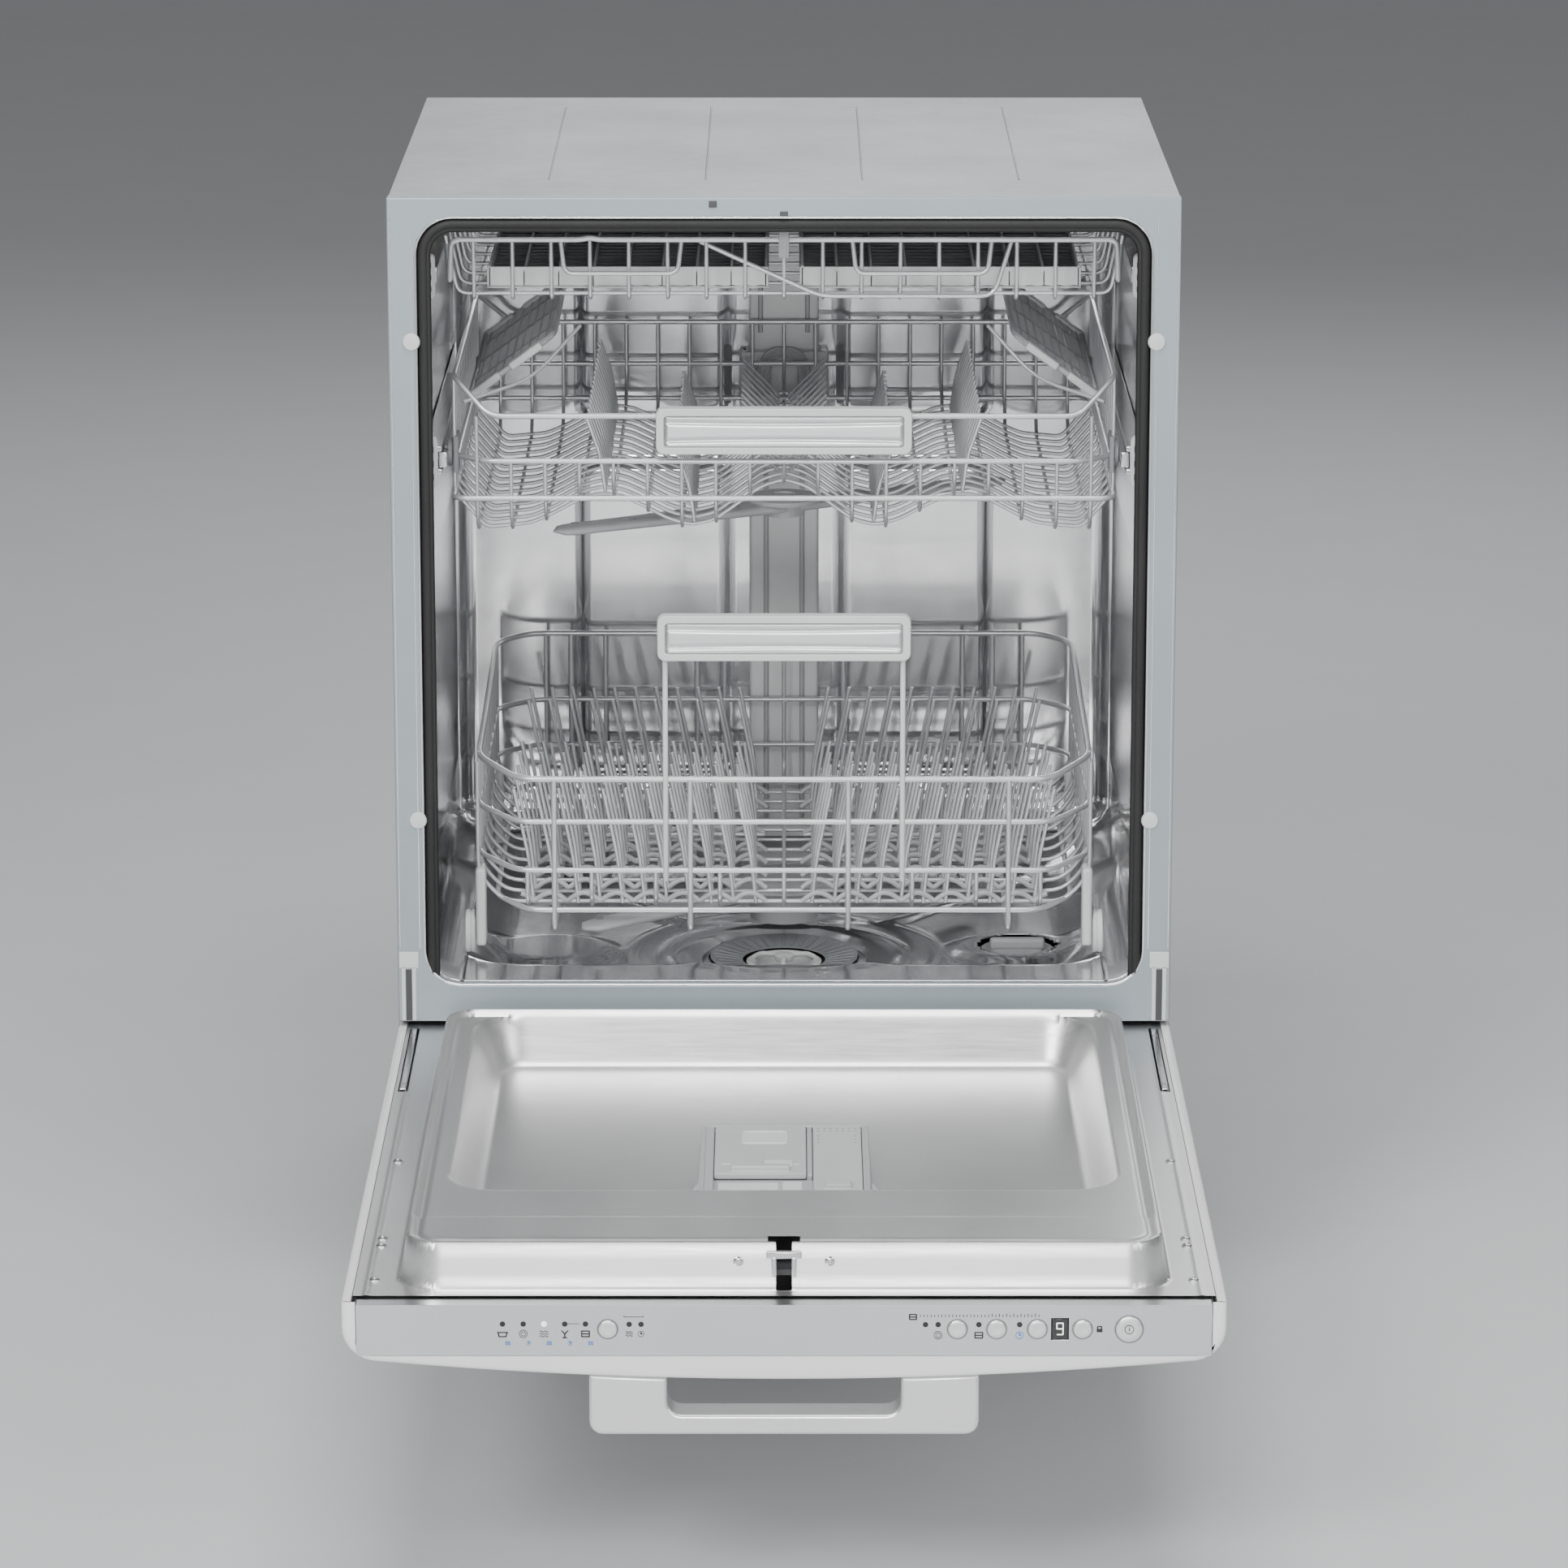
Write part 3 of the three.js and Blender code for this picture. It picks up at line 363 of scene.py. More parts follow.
# ---------------------------------------------------------------- camera, light, floor
def camera():
    data = bpy.data.cameras.new("camera")
    data.lens = 145.1
    data.sensor_width = 36
    data.clip_end = 50
    obj = bpy.data.objects.new("camera", data)
    bpy.context.scene.collection.objects.link(obj)
    obj.location = (0, FRONT - 4.71, LIP + 1.344)
    obj.rotation_euler = (math.radians(90 - 14.1), 0, 0)
    bpy.context.scene.camera = obj


def light(name, place, target, size, power):
    data = bpy.data.lights.new(name, "AREA")
    data.shape = "RECTANGLE"
    data.size, data.size_y = size
    data.energy = power
    obj = bpy.data.objects.new(name, data)
    bpy.context.scene.collection.objects.link(obj)
    obj.location = place
    obj.rotation_euler = (Vector(target) - Vector(place)).to_track_quat("-Z", "Y").to_euler()


def studio():
    light("key", (-2.0, -3.4, 3.0), (0, 0, 0.4), (1.5, 1.5), 125)
    light("fill", (2.3, -2.8, 1.9), (0, 0, 0.4), (1.2, 1.6), 38)
    light("top", (0, -1.0, 3.4), (0, -0.3, 0), (2.0, 1.2), 80)
    light("front", (0, -4.4, 1.0), (0, 0.2, 0.6), (1.3, 0.6), 52)
    light("back", (0.5, 3.4, 2.6), (0, 0, 0.4), (2.4, 1.6), 40)
    world = bpy.data.worlds.new("studio")
    bpy.context.scene.world = world
    world.use_nodes = True
    back = world.node_tree.nodes["Background"]
    back.inputs["Color"].default_value = (0.9, 0.92, 0.94, 1)
    back.inputs["Strength"].default_value = 0.24
    verts, faces = sheet_of(spread(-12, 12, 13), spread(-8, 28, 19), lambda x, y: (x, y, 0))
    mesh = bpy.data.meshes.new("floor")
    mesh.from_pydata(verts, [], faces)
    floor = bpy.data.objects.new("floor", mesh)
    bpy.context.scene.collection.objects.link(floor)
    mesh.materials.append(material("floor_paint", (0.58, 0.59, 0.60), 0.6, 0, grain_size=30, bump=0.01, shade=0.01))


camera()
studio()


# ---------------------------------------------------------------- tub
def panel_relief(x, z):
    """Pressed panels of the tub's back wall: two tall upper ones and two lower ones beside the duct."""
    relief = 0.0
    for side in (-1, 1):
        a, b = sorted((side * 45 * MM, side * 172 * MM))
        for low, high in ((LIP + 46 * MM, LIP + 318 * MM), (LIP + 352 * MM, TUB_TOP - 34 * MM)):
            d = inside(x, z, a, b, low, high, 16 * MM)
            relief = max(relief, step(-1 * MM, 7 * MM, d))
    return relief * 5 * MM


def tub_back():
    def place(u, v):
        y = TUB_BACK - 6 * MM + 5 * MM - panel_relief(u, v) * 1.0
        d = inside(u, v, -TUB_HALF, TUB_HALF, LIP, TUB_TOP, CORNER)
        if d < 14 * MM:
            y -= (1 - step(-1 * MM, 14 * MM, d)) * 9 * MM
        return (u, y, v)

    return sheet_of(spread(-TUB_HALF, TUB_HALF, 150), spread(LIP - 1 * MM, TUB_TOP, 160), place,
                    lambda u, v: inside(u, v, -TUB_HALF, TUB_HALF, LIP - 1 * MM, TUB_TOP, CORNER) > -2 * MM)


def tub_ring():
    """Walls and ceiling as one strip that goes from lip to lip, with ribs pressed along it."""
    path = []
    loop = outline(-TUB_HALF, TUB_HALF, LIP, TUB_TOP, CORNER, 10)
    loop = loop[33:] + loop[:33]  # starts at the right-hand end of the floor
    for (x0, z0), (x1, z1) in zip(loop, loop[1:]):
        parts = max(1, int(math.hypot(x1 - x0, z1 - z0) / (9 * MM)))
        path += [(x0 + (x1 - x0) * k / parts, z0 + (z1 - z0) * k / parts) for k in range(parts)]
    path.append(loop[-1])
    rows = spread(TUB.y0, TUB_BACK, 100)
    verts = []
    for y in rows:
        for x, z in path:
            push = 0.0
            if abs(x) > TUB_HALF - 2 * MM:
                for low, high in ((LIP + 60 * MM, LIP + 330 * MM), (LIP + 470 * MM, TUB_TOP - 60 * MM)):
                    d = inside(y, z, TUB.y0 + 90 * MM, TUB_BACK - 40 * MM, low, high, 24 * MM)
                    push = max(push, step(0, 9 * MM, d) * 2.5 * MM)
                edge = step(0, 6 * MM, y - TUB.y0 - 8 * MM) * (1 - step(12 * MM, 18 * MM, y - TUB.y0))
                push = max(push, edge * 1.2 * MM)
            verts.append((x - math.copysign(push, x), y, z))
    n = len(path)
    faces = [(j * n + i, j * n + i + 1, (j + 1) * n + i + 1, (j + 1) * n + i)
             for j in range(len(rows) - 1) for i in range(n - 1)]
    return verts, faces


def floor_height(x, y):
    """The tub's floor: a flat rim, a basin that falls to the sump, and rings and ribs pressed into it."""
    d = inside(x, y, -TUB_HALF + 16 * MM, TUB_HALF - 16 * MM, TUB.y0 + 44 * MM, TUB_BACK - 18 * MM, 60 * MM)
    z = LIP - 22 * MM * step(0, 46 * MM, d)
    r = math.hypot(x, y - SUMP_Y)
    z -= 3.5 * MM * (1 - step(66 * MM, 120 * MM, r))
    z += 2.2 * MM * math.exp(-((r - 96 * MM) / (5 * MM)) ** 2)
    z += 1.6 * MM * math.exp(-((r - 124 * MM) / (6 * MM)) ** 2)
    for side in (-1, 1):
        px, py = side * 186 * MM, FRONT + 176 * MM
        q = math.hypot((x - px) / 1.2, y - py)
        z += 6 * MM * (1 - step(34 * MM, 52 * MM, q)) * (1 if side > 0 else 0.8)
        across = abs((x - side * 140 * MM) * 0.8 - side * (y - FRONT - 330 * MM) * 0.6)
        reach = inside(x, y, *sorted((side * 60 * MM, side * 230 * MM)), FRONT + 250 * MM, FRONT + 440 * MM, 30 * MM)
        z += 3 * MM * (1 - step(4 * MM, 12 * MM, across)) * step(0, 18 * MM, reach)
    return z


def tub_floor():
    hole = 60 * MM
    verts, faces = sheet_of(spread(-TUB_HALF + 2 * MM, TUB_HALF - 2 * MM, 190), spread(TUB.y0, TUB_BACK, 170),
                            lambda x, y: (x, y, floor_height(x, y) + lift(x)),
                            lambda x, y: math.hypot(x, y - SUMP_Y) > hole
                            and math.hypot(x - SALT.mid[0], y - SALT.mid[1]) > 31 * MM)
    return verts, faces


def lift(x):
    """The floor turns up into the side walls."""
    over = max(0, abs(x) - (TUB_HALF - 26 * MM))
    return 26 * MM - math.sqrt(max(0, (26 * MM) ** 2 - over ** 2)) if over else 0


SALT = Box("salt_cap")


def make_tub():
    shell = Bundle()
    shell.put(*tub_back())
    shell.put(*tub_ring())
    shell.put(*tub_floor())
    shell.lathe([(60 * MM, -2 * MM), (59 * MM, 1.2 * MM), (61 * MM, 2.6 * MM), (64 * MM, 1.5 * MM), (67 * MM, -1 * MM)],
                (0, SUMP_Y, floor_height(62 * MM, SUMP_Y)), cap=False)
    shell.make("tub_shell", "tub", "cabinet", ("tub",), thick=0.8 * MM)


def make_frame():
    refined("front_frame", "frame", 1.2 * MM, 3)
    mouth = outline(-FRAME.x1 + 21 * MM, FRAME.x1 - 21 * MM, LIP, FRAME.z1 - 15 * MM, CORNER, 10)
    lip = Bundle()
    lip.wire([(x, FRONT + 1.6 * MM, z) for x, z in mouth], 1.5 * MM, 0.1 * MM, closed=True)
    lip.make("frame_lip", "bright", "cabinet")
    # thin ridges along the frame's folds in bright steel: a painted highlight on the painted frame
    fold_highlights = Bundle()
    for side in (-1, 1):
        for x in (FRAME.x1 - 2.2 * MM, FRAME.x1 - 17.5 * MM):
            fold_highlights.wire([(side * x, FRONT + 0.3 * MM, LIP + 30 * MM), (side * x, FRONT + 0.3 * MM, FRAME.z1 - 16 * MM)],
                       0.7 * MM, 0.1 * MM, sides=6)
    fold_highlights.make("frame_fold_highlights", "bright", "cabinet")
    buffers = Bundle()
    for side in (-1, 1):
        for z in (LIP + 505 * MM, LIP + 132 * MM):
            buffers.lathe([(6.5 * MM, 1 * MM), (6.8 * MM, -0.2 * MM), (6 * MM, -1.6 * MM), (4 * MM, -1.9 * MM)],
                          (side * (FRAME.x1 - 17.5 * MM), FRONT, z), "y", 24)
    buffers.make("frame_buffers", "pale", "cabinet")
    catch = Bundle()
    catch.block(-56.5 * MM, -50.5 * MM, FRONT - 1.4 * MM, FRONT + 1 * MM, FRAME.z1 - 7.5 * MM, FRAME.z1 - 2.5 * MM)
    catch.block(-3 * MM, 3 * MM, FRONT - 1.4 * MM, FRONT + 1 * MM, FRAME.z1 - 14 * MM, FRAME.z1 - 10.5 * MM)
    catch.make("frame_catches", "dark", "cabinet", bevel=0.5 * MM)
    hinges = Bundle()
    for side in (-1, 1):
        for near, far, low, high in ((1.2, 16, 14, 27), (3, 6, -28, 15), (11, 14, -28, 15)):
            a, b = sorted((side * (FRAME.x1 - near * MM), side * (FRAME.x1 - far * MM)))
            hinges.block(a, b, FRONT - 0.35 * MM, FRONT + 1 * MM, LIP + low * MM, LIP + high * MM)
    hinges.make("hinge_caps", "pale", "cabinet", bevel=0.3 * MM)
    # dark blocks standing proud of the hinge covers where the slots are: painted shade for the openings
    slot_shade = Bundle()
    for side in (-1, 1):
        a, b = sorted((side * (FRAME.x1 - 6.2 * MM), side * (FRAME.x1 - 10.8 * MM)))
        slot_shade.block(a, b, FRONT - 0.6 * MM, FRONT + 1 * MM, LIP - 28 * MM, LIP + 13 * MM)
    slot_shade.make("hinge_slot_shade", "dark", "cabinet", bevel=0.3 * MM)


def make_gasket():
    seal = Bundle()
    g = Box("tub_gasket")
    for inset, y, radius in ((5.6 * MM, 4.4 * MM, 4.4 * MM), (9.2 * MM, 3.4 * MM, 2.2 * MM)):
        path = outline(g.x0 + inset, g.x1 - inset, LIP - 60 * MM, g.z1 - inset, CORNER - inset, 10)
        path = [(x, z) for x, z in path if z > LIP + 20 * MM]
        start = min(range(len(path)), key=lambda i: path[i][1] + (10 if path[i][0] < 0 else 0))
        path = path[start:] + path[:start]
        ends = [(path[0][0], LIP + 4 * MM)] + path + [(path[-1][0], LIP + 4 * MM)]
        seal.put(*tube([(x, FRONT + y, z) for x, z in ends], radius, sides=12))
    seal.make("tub_seal", "rubber", "cabinet", ("tub_gasket",))


def make_duct():
    d = Box("water_duct")
    refined("water_duct", "pale", 2.5 * MM, 3)
    ribs = Bundle()
    front = d.y1 - 15 * MM
    for side in (-1, 1):
        x = side * 15 * MM
        ribs.wire([(x, front, LIP + 12 * MM), (x, front, d.z0 + (d.z1 - d.z0) * 0.54)], 2 * MM, 1 * MM)
        ribs.wire([(x * 1.3, front, d.z1 - 150 * MM), (x * 1.3, front, d.z1 - 6 * MM)], 2 * MM, 1 * MM)
    arch_z = d.z1 - 180 * MM
    for k in range(5):
        r = (22 - 2.2 * k) * MM
        ribs.wire([(-r, front - 6 * MM, arch_z - 46 * MM), (-r, front - 6 * MM, arch_z),
                   (-r * 0.6, front - 6 * MM, arch_z + r * 0.8), (r * 0.6, front - 6 * MM, arch_z + r * 0.8),
                   (r, front - 6 * MM, arch_z), (r, front - 6 * MM, arch_z - 46 * MM)], 1.3 * MM, 10 * MM)
    ribs.make("duct_ribs", "grey", "cabinet")


make_tub()
make_frame()
make_gasket()
make_duct()


# ---------------------------------------------------------------- upper basket
def make_upper_basket():
    h = UPPER.x1 - WIRE
    f = UPPER.y0 + WIRE
    b = UPPER.y1 - WIRE
    side = UPPER.z1 - WIRE
    rim = side - 27 * MM
    low = UPPER.z0 + WIRE
    thick = Bundle()
    thick.wire([(-h, f + 20 * MM, side), (-h + 28 * MM, f, rim), (h - 28 * MM, f, rim), (h, f + 20 * MM, side),
                (h, b - 20 * MM, side), (h - 28 * MM, b, rim), (-h + 28 * MM, b, rim), (-h, b - 20 * MM, side)],
               WIRE, 10 * MM, closed=True, sides=10)
    for inset, z, cut in ((2, rim - 35 * MM, 24), (0, rim - 64 * MM, 6)):
        a, c = h - inset * MM, cut * MM
        thick.wire([(-a + c, f, z), (a - c, f, z), (a, f + c, z), (a, b - c, z), (a - c, b, z), (-a + c, b, z),
                    (-a, b - c, z), (-a, f + c, z)], WIRE, 9 * MM, closed=True, sides=10)

    def floor_at(x):
        across = abs(x) / MM
        ripple = 0.5 - 0.5 * math.cos(math.pi * min(across, 207) / 69)
        return low + (36 * (1 - ripple) if across < 207 else 0) * MM * (0.7 if across > 60 else 1)

    fine = Bundle()
    for x in spread(-h + 18 * MM, h - 18 * MM, 19):
        z = floor_at(x)
        top = rim if abs(x) > h - 40 * MM else rim - 35 * MM
        fine.wire([(x, f, top), (x, f + 2 * MM, z + 20 * MM), (x, f + 20 * MM, z), (x, b - 20 * MM, z),
                   (x, b - 2 * MM, z + 20 * MM), (x, b, rim)], THIN, 12 * MM)
    for y in spread(f + 26 * MM, b - 26 * MM, 15):
        wall = [(-h, y, side), (-h, y, rim - 64 * MM), (-h + 24 * MM, y, low + 1 * MM)]
        mid = [(x, y, floor_at(x) + 2.6 * MM) for x in spread(-h + 40 * MM, h - 40 * MM, 25)]
        fine.wire(wall + mid + [(-x, yy, z) for x, yy, z in reversed(wall)], THIN, 6 * MM, sides=6)
    for row in (-138, -69, 69, 138):
        lean = math.copysign(14 * MM, row)
        x = row * MM
        for y in spread(f + 40 * MM, b - 34 * MM, 18):
            z = floor_at(x)
            fine.wire([(x, y, z), (x + lean * 0.3, y, z + 30 * MM), (x + lean, y, z + 58 * MM)], THIN, 8 * MM, sides=6)
    for y in spread(f + 60 * MM, b - 40 * MM, 13):
        for s in (-1, 1):
            fine.wire([(s * 4 * MM, y, floor_at(0) + 2 * MM), (s * 34 * MM, y + 12 * MM, floor_at(0) + 30 * MM)], THIN,
                      8 * MM, sides=6)
    for s in (-1, 1):
        fine.wire([(s * (h - 8 * MM), f + 6 * MM, rim + 10 * MM), (s * (h - 60 * MM), f + 40 * MM, rim + 22 * MM),
                   (s * (h - 96 * MM), f + 70 * MM, rim + 58 * MM)], THIN, 20 * MM)
    thick.put(fine.verts, fine.faces)
    thick.make("upper_basket_wires", "wire", "upper_basket", ("upper_basket",))
    rollers = Bundle()
    for s in (-1, 1):
        for y in (f + 34 * MM, b - 60 * MM):
            rollers.lathe([(9 * MM, -3 * MM), (11 * MM, -2 * MM), (11 * MM, 1 * MM), (7 * MM, 2 * MM),
                           (7 * MM, 3 * MM)], (s * (h + 3 * MM), y, rim - 34 * MM), "x", 24)
            rollers.block(*sorted((s * (h - 3 * MM), s * (h + 0.5 * MM))), y - 14 * MM, y + 14 * MM, rim - 48 * MM,
                          rim - 20 * MM)
    rollers.make("upper_rollers", "dim", "upper_basket", bevel=0.8 * MM)


def make_grip(node, body, wires_to=None):
    """A grip: pale bezel with a brushed plate set into it."""
    g = Box(node)
    z0 = g.z1 - 36 * MM
    bezel = Bundle()
    rim = outline(g.x0, g.x1, z0, g.z1, 6 * MM, 6)
    inner = outline(g.x0 + 6 * MM, g.x1 - 6 * MM, z0 + 5.5 * MM, g.z1 - 6 * MM, 3 * MM, 6)
    n = len(rim)
    rings = [[(x, g.y1, z) for x, z in rim], [(x, g.y0 + 2 * MM, z) for x, z in rim],
             [(x * 0.994, g.y0 + 0.4 * MM, z + (0.4 if z < (z0 + g.z1) / 2 else -0.4) * MM) for x, z in rim],
             [(x, g.y0 + 0.4 * MM, z) for x, z in inner], [(x, g.y0 + 2.2 * MM, z) for x, z in inner]]
    verts = [p for ring in rings for p in ring]
    faces = [(r * n + k, r * n + (k + 1) % n, (r + 1) * n + (k + 1) % n, (r + 1) * n + k)
             for r in range(len(rings) - 1) for k in range(n)]
    faces.append(tuple(range(4 * n, 5 * n)))
    faces.append(tuple(reversed(range(n))))
    bezel.put(verts, faces)
    if wires_to is not None:
        for s in (-1, 1):
            x = s * (g.x1 - 6 * MM)
            bezel.wire([(x, g.y1 - 4 * MM, z0 + 6 * MM), (x, g.y1 - 4 * MM, wires_to)], WIRE, 1 * MM)
    bezel.make(node + "_bezel", "pale", body, (node,), bevel=0.5 * MM, angle=40)
    plate = Bundle()
    x0, x1, a, c = g.x0 + 6.6 * MM, g.x1 - 6.6 * MM, z0 + 6.1 * MM, g.z1 - 6.6 * MM
    columns, rows = spread(x0, x1, 60), spread(a, c, 24)
    mid, tall = (a + c) / 2, (c - a) / 2

    def place(x, z):
        t = (z - mid) / tall
        waist = 0.62 - 0.10 * math.cos(math.pi * (x - (x0 + x1) / 2) / (x1 - x0))
        groove = math.exp(-((abs(t) - waist) / 0.10) ** 2)
        return (x, g.y0 + (1.5 + 0.8 * groove) * MM, z)

    plate.put(*sheet_of(columns, rows, place))
    plate.make(node + "_plate", "fascia", body, thick=0.3 * MM)


def make_cup_shelf(side, sign):
    node = f"cup_shelf_{side}"
    c = Box(node)
    tilt = math.radians(36)
    hinge_x = (c.x1 if sign > 0 else -c.x0) - 1 * MM
    hinge_z = c.z0 + 5 * MM
    reach = 82 * MM

    def at(s, y, n=0.0):
        x = hinge_x - s * math.cos(tilt) - n * math.sin(tilt)
        return (sign * x, y, hinge_z + s * math.sin(tilt) - n * math.cos(tilt))

    net = Bundle()
    net.wire([at(2 * MM, c.y0 + 4 * MM), at(reach, c.y0 + 12 * MM), at(reach, c.y1 - 12 * MM), at(2 * MM, c.y1 - 4 * MM)],
             2.4 * MM, 14 * MM, closed=True)
    for s in spread(8 * MM, reach - 8 * MM, 9):
        net.wire([at(s, c.y0 + 6 * MM), at(s, c.y1 - 6 * MM)], 0.9 * MM, 1 * MM, sides=6)
    for y in spread(c.y0 + 10 * MM, c.y1 - 10 * MM, 30):
        net.wire([at(3 * MM, y), at(reach - 1 * MM, y)], 0.8 * MM, 1 * MM, sides=6)
    for y in (c.y0 + 60 * MM, c.mid[1], c.y1 - 60 * MM):
        net.wire([at(0, y, 1 * MM), at(reach, y, 1 * MM)], 2.2 * MM, 1 * MM)
    net.make(node + "_net", "grey", node, (node,))
    clips = Bundle()
    for y in (c.y0 + 8 * MM, c.y1 - 8 * MM):
        for a, b in ((0, 30), (40, 70)):
            low, high = at(a * MM, y - 6 * MM, -2 * MM), at(b * MM, y + 6 * MM, 3 * MM)
            pts = [at(s * MM, y + e * 6 * MM, n * MM) for s in (a, b) for e in (-1, 1) for n in (-3, 3)]
            clips.put(pts, [(0, 1, 3, 2), (4, 6, 7, 5), (0, 4, 5, 1), (2, 3, 7, 6), (0, 2, 6, 4), (1, 5, 7, 3)])
    clips.make(node + "_clips", "pale", node, bevel=1.5 * MM, segments=3)


# ---------------------------------------------------------------- rails and runners
def make_rails():
    for side, sign in (("left", -1), ("right", 1)):
        for node, tall in ((f"basket_rail_{side}", 40 * MM), (f"tray_rail_{side}", 34 * MM)):
            refined(node, "bright", 0.8 * MM)
            r = Box(node)
            cap = Bundle()
            run = Box(f"runner_{side}")
            x0, x1 = (run.x1 + 0.6 * MM, r.x1) if sign > 0 else (r.x0, run.x0 - 0.6 * MM)
            z = r.mid[2]
            rim = outline(x0, x1, z - tall / 2, z + tall / 2, 4.5 * MM, 5)
            n = len(rim)
            y0 = r.y0 - 9 * MM
            verts = [(x, y, zz) for y in (y0, r.y0 - 0.3 * MM) for x, zz in rim]
            cap.put(verts, [(k, (k + 1) % n, n + (k + 1) % n, n + k) for k in range(n)]
                    + [tuple(reversed(range(n))), tuple(range(n, 2 * n))])
            cap.make(node + "_cap", "pale", "cabinet", bevel=0.9 * MM)
            # three dark bars on the cap's face where its slots are: painted shade for the openings
            hole_shade = Bundle()
            xm = (x0 + x1) / 2
            for dz in (-0.28, -0.02, 0.26):
                hole_shade.block(xm - 2.6 * MM, xm + 2.6 * MM, y0 - 0.25 * MM, y0 + 1 * MM, z + (dz - 0.07) * tall,
                            z + (dz + 0.07) * tall)
            hole_shade.make(node + "_cap_slot_shade", "dark", "cabinet", bevel=0.8 * MM)
        refined(f"runner_{side}", "bright", 1.2 * MM)


# ---------------------------------------------------------------- cutlery tray
def make_tray():
    rim = TRAY.z1 - WIRE
    low = TRAY.z0 + WIRE
    a = TRAY.x1 - WIRE
    f = TRAY.y0 + WIRE
    b = TRAY.y1 - WIRE
    t = Bundle()
    t.wire([(-a, b, rim), (-a, f + 26 * MM, rim), (-a + 4 * MM, f, rim - 34 * MM), (-a + 5 * MM, f, rim), (-a + 24 * MM, f, rim),
            (-155 * MM, f, rim), (-148 * MM, f, rim + 1.6 * MM), (-141 * MM, f, rim), (a - 5 * MM, f, rim),
            (a - 4 * MM, f, rim - 34 * MM), (a, f + 26 * MM, rim), (a, b, rim)], WIRE, 7 * MM, closed=True, sides=10)
    for x0, x1 in ((-170, -78), (52, 158)):
        t.wire([(x0 * MM, f, rim), ((x0 + 3) * MM, f - 0 * MM, rim - 26 * MM), ((x1 - 3) * MM, f, rim - 26 * MM),
                (x1 * MM, f, rim)], THIN * 1.2, 7 * MM)
    t.wire([(-64 * MM, f + 4 * MM, rim - 2 * MM), (28 * MM, f + 4 * MM, low + 3 * MM), (160 * MM, f + 4 * MM, low + 3 * MM),
            (173 * MM, f + 4 * MM, rim - 2 * MM)], THIN * 1.2, 10 * MM)
    for x in spread(-a + 22 * MM, a - 22 * MM, 17):
        t.wire([(x, f + 1 * MM, rim), (x, f + 6 * MM, low), (x, b - 6 * MM, low), (x, b, rim)], THIN, 8 * MM, sides=6)
    for y in spread(f + 20 * MM, b - 20 * MM, 9):
        t.wire([(-a, y, rim), (-a + 9 * MM, y, low + 2.6 * MM), (a - 9 * MM, y, low + 2.6 * MM), (a, y, rim)], THIN, 8 * MM,
               sides=6)
    t.make("cutlery_tray_wires", "wire", "cutlery_tray", ("cutlery_tray",))
    for side in ("left", "right"):
        c = Box(f"tray_insert_{side}")
        body = Bundle()
        floor_z = c.z0 + 1.5 * MM
        body.put(*sheet_of(spread(c.x0, c.x1, 40), spread(c.y0, c.y1, 60), lambda x, y: (
            x, y, floor_z + 1.2 * MM * math.sin((x - c.x0) * 2 * math.pi / (11 * MM)))))
        body.make(f"tray_insert_{side}_floor", "pale", "cutlery_tray", (f"tray_insert_{side}",), thick=2 * MM)
        fins = Bundle()
        for x in spread(c.x0 + 2 * MM, c.x1 - 2 * MM, 9):
            tall = c.z1 - (0 if x in (c.x0 + 2 * MM, c.x1 - 2 * MM) else 4 * MM)
            fins.block(x - 0.9 * MM, x + 0.9 * MM, c.y0, c.y1, floor_z, tall)
        for y in (c.y0 + 1 * MM, c.y1 - 1 * MM):
            fins.block(c.x0, c.x1, y - 1 * MM, y + 1 * MM, floor_z, c.z1 - 1 * MM)
        fins.make(f"tray_insert_{side}_fins", "pale", "cutlery_tray", bevel=0.5 * MM)
        combs = Bundle()
        for y in spread(c.y0 + 14 * MM, c.y1 - 14 * MM, 22):
            combs.block(c.x0 + 2 * MM, c.x1 - 2 * MM, y - 0.8 * MM, y + 0.8 * MM, floor_z, c.z1 - 8 * MM)
        combs.make(f"tray_insert_{side}_combs", "dim", "cutlery_tray", bevel=0.4 * MM)


# ---------------------------------------------------------------- lower basket
def tine(bundle, x, y, z, lean, tall, radius=THIN):
    bundle.wire([(x, y, z), (x + lean * 0.25, y, z + tall * 0.4), (x + lean, y, z + tall)], radius, 10 * MM, sides=6)


def strip(bundle, x0, x1, y, z, pitch=26 * MM, tall=7 * MM):
    """A wavy plastic strip at the foot of a row of tines."""
    count = int(abs(x1 - x0) / (2 * MM)) + 2
    path = [(x, y, z + tall * abs(math.sin(math.pi * (x - x0) / pitch))) for x in spread(x0, x1, count)]
    bundle.put(*tube(path, 2.1 * MM, sides=8))


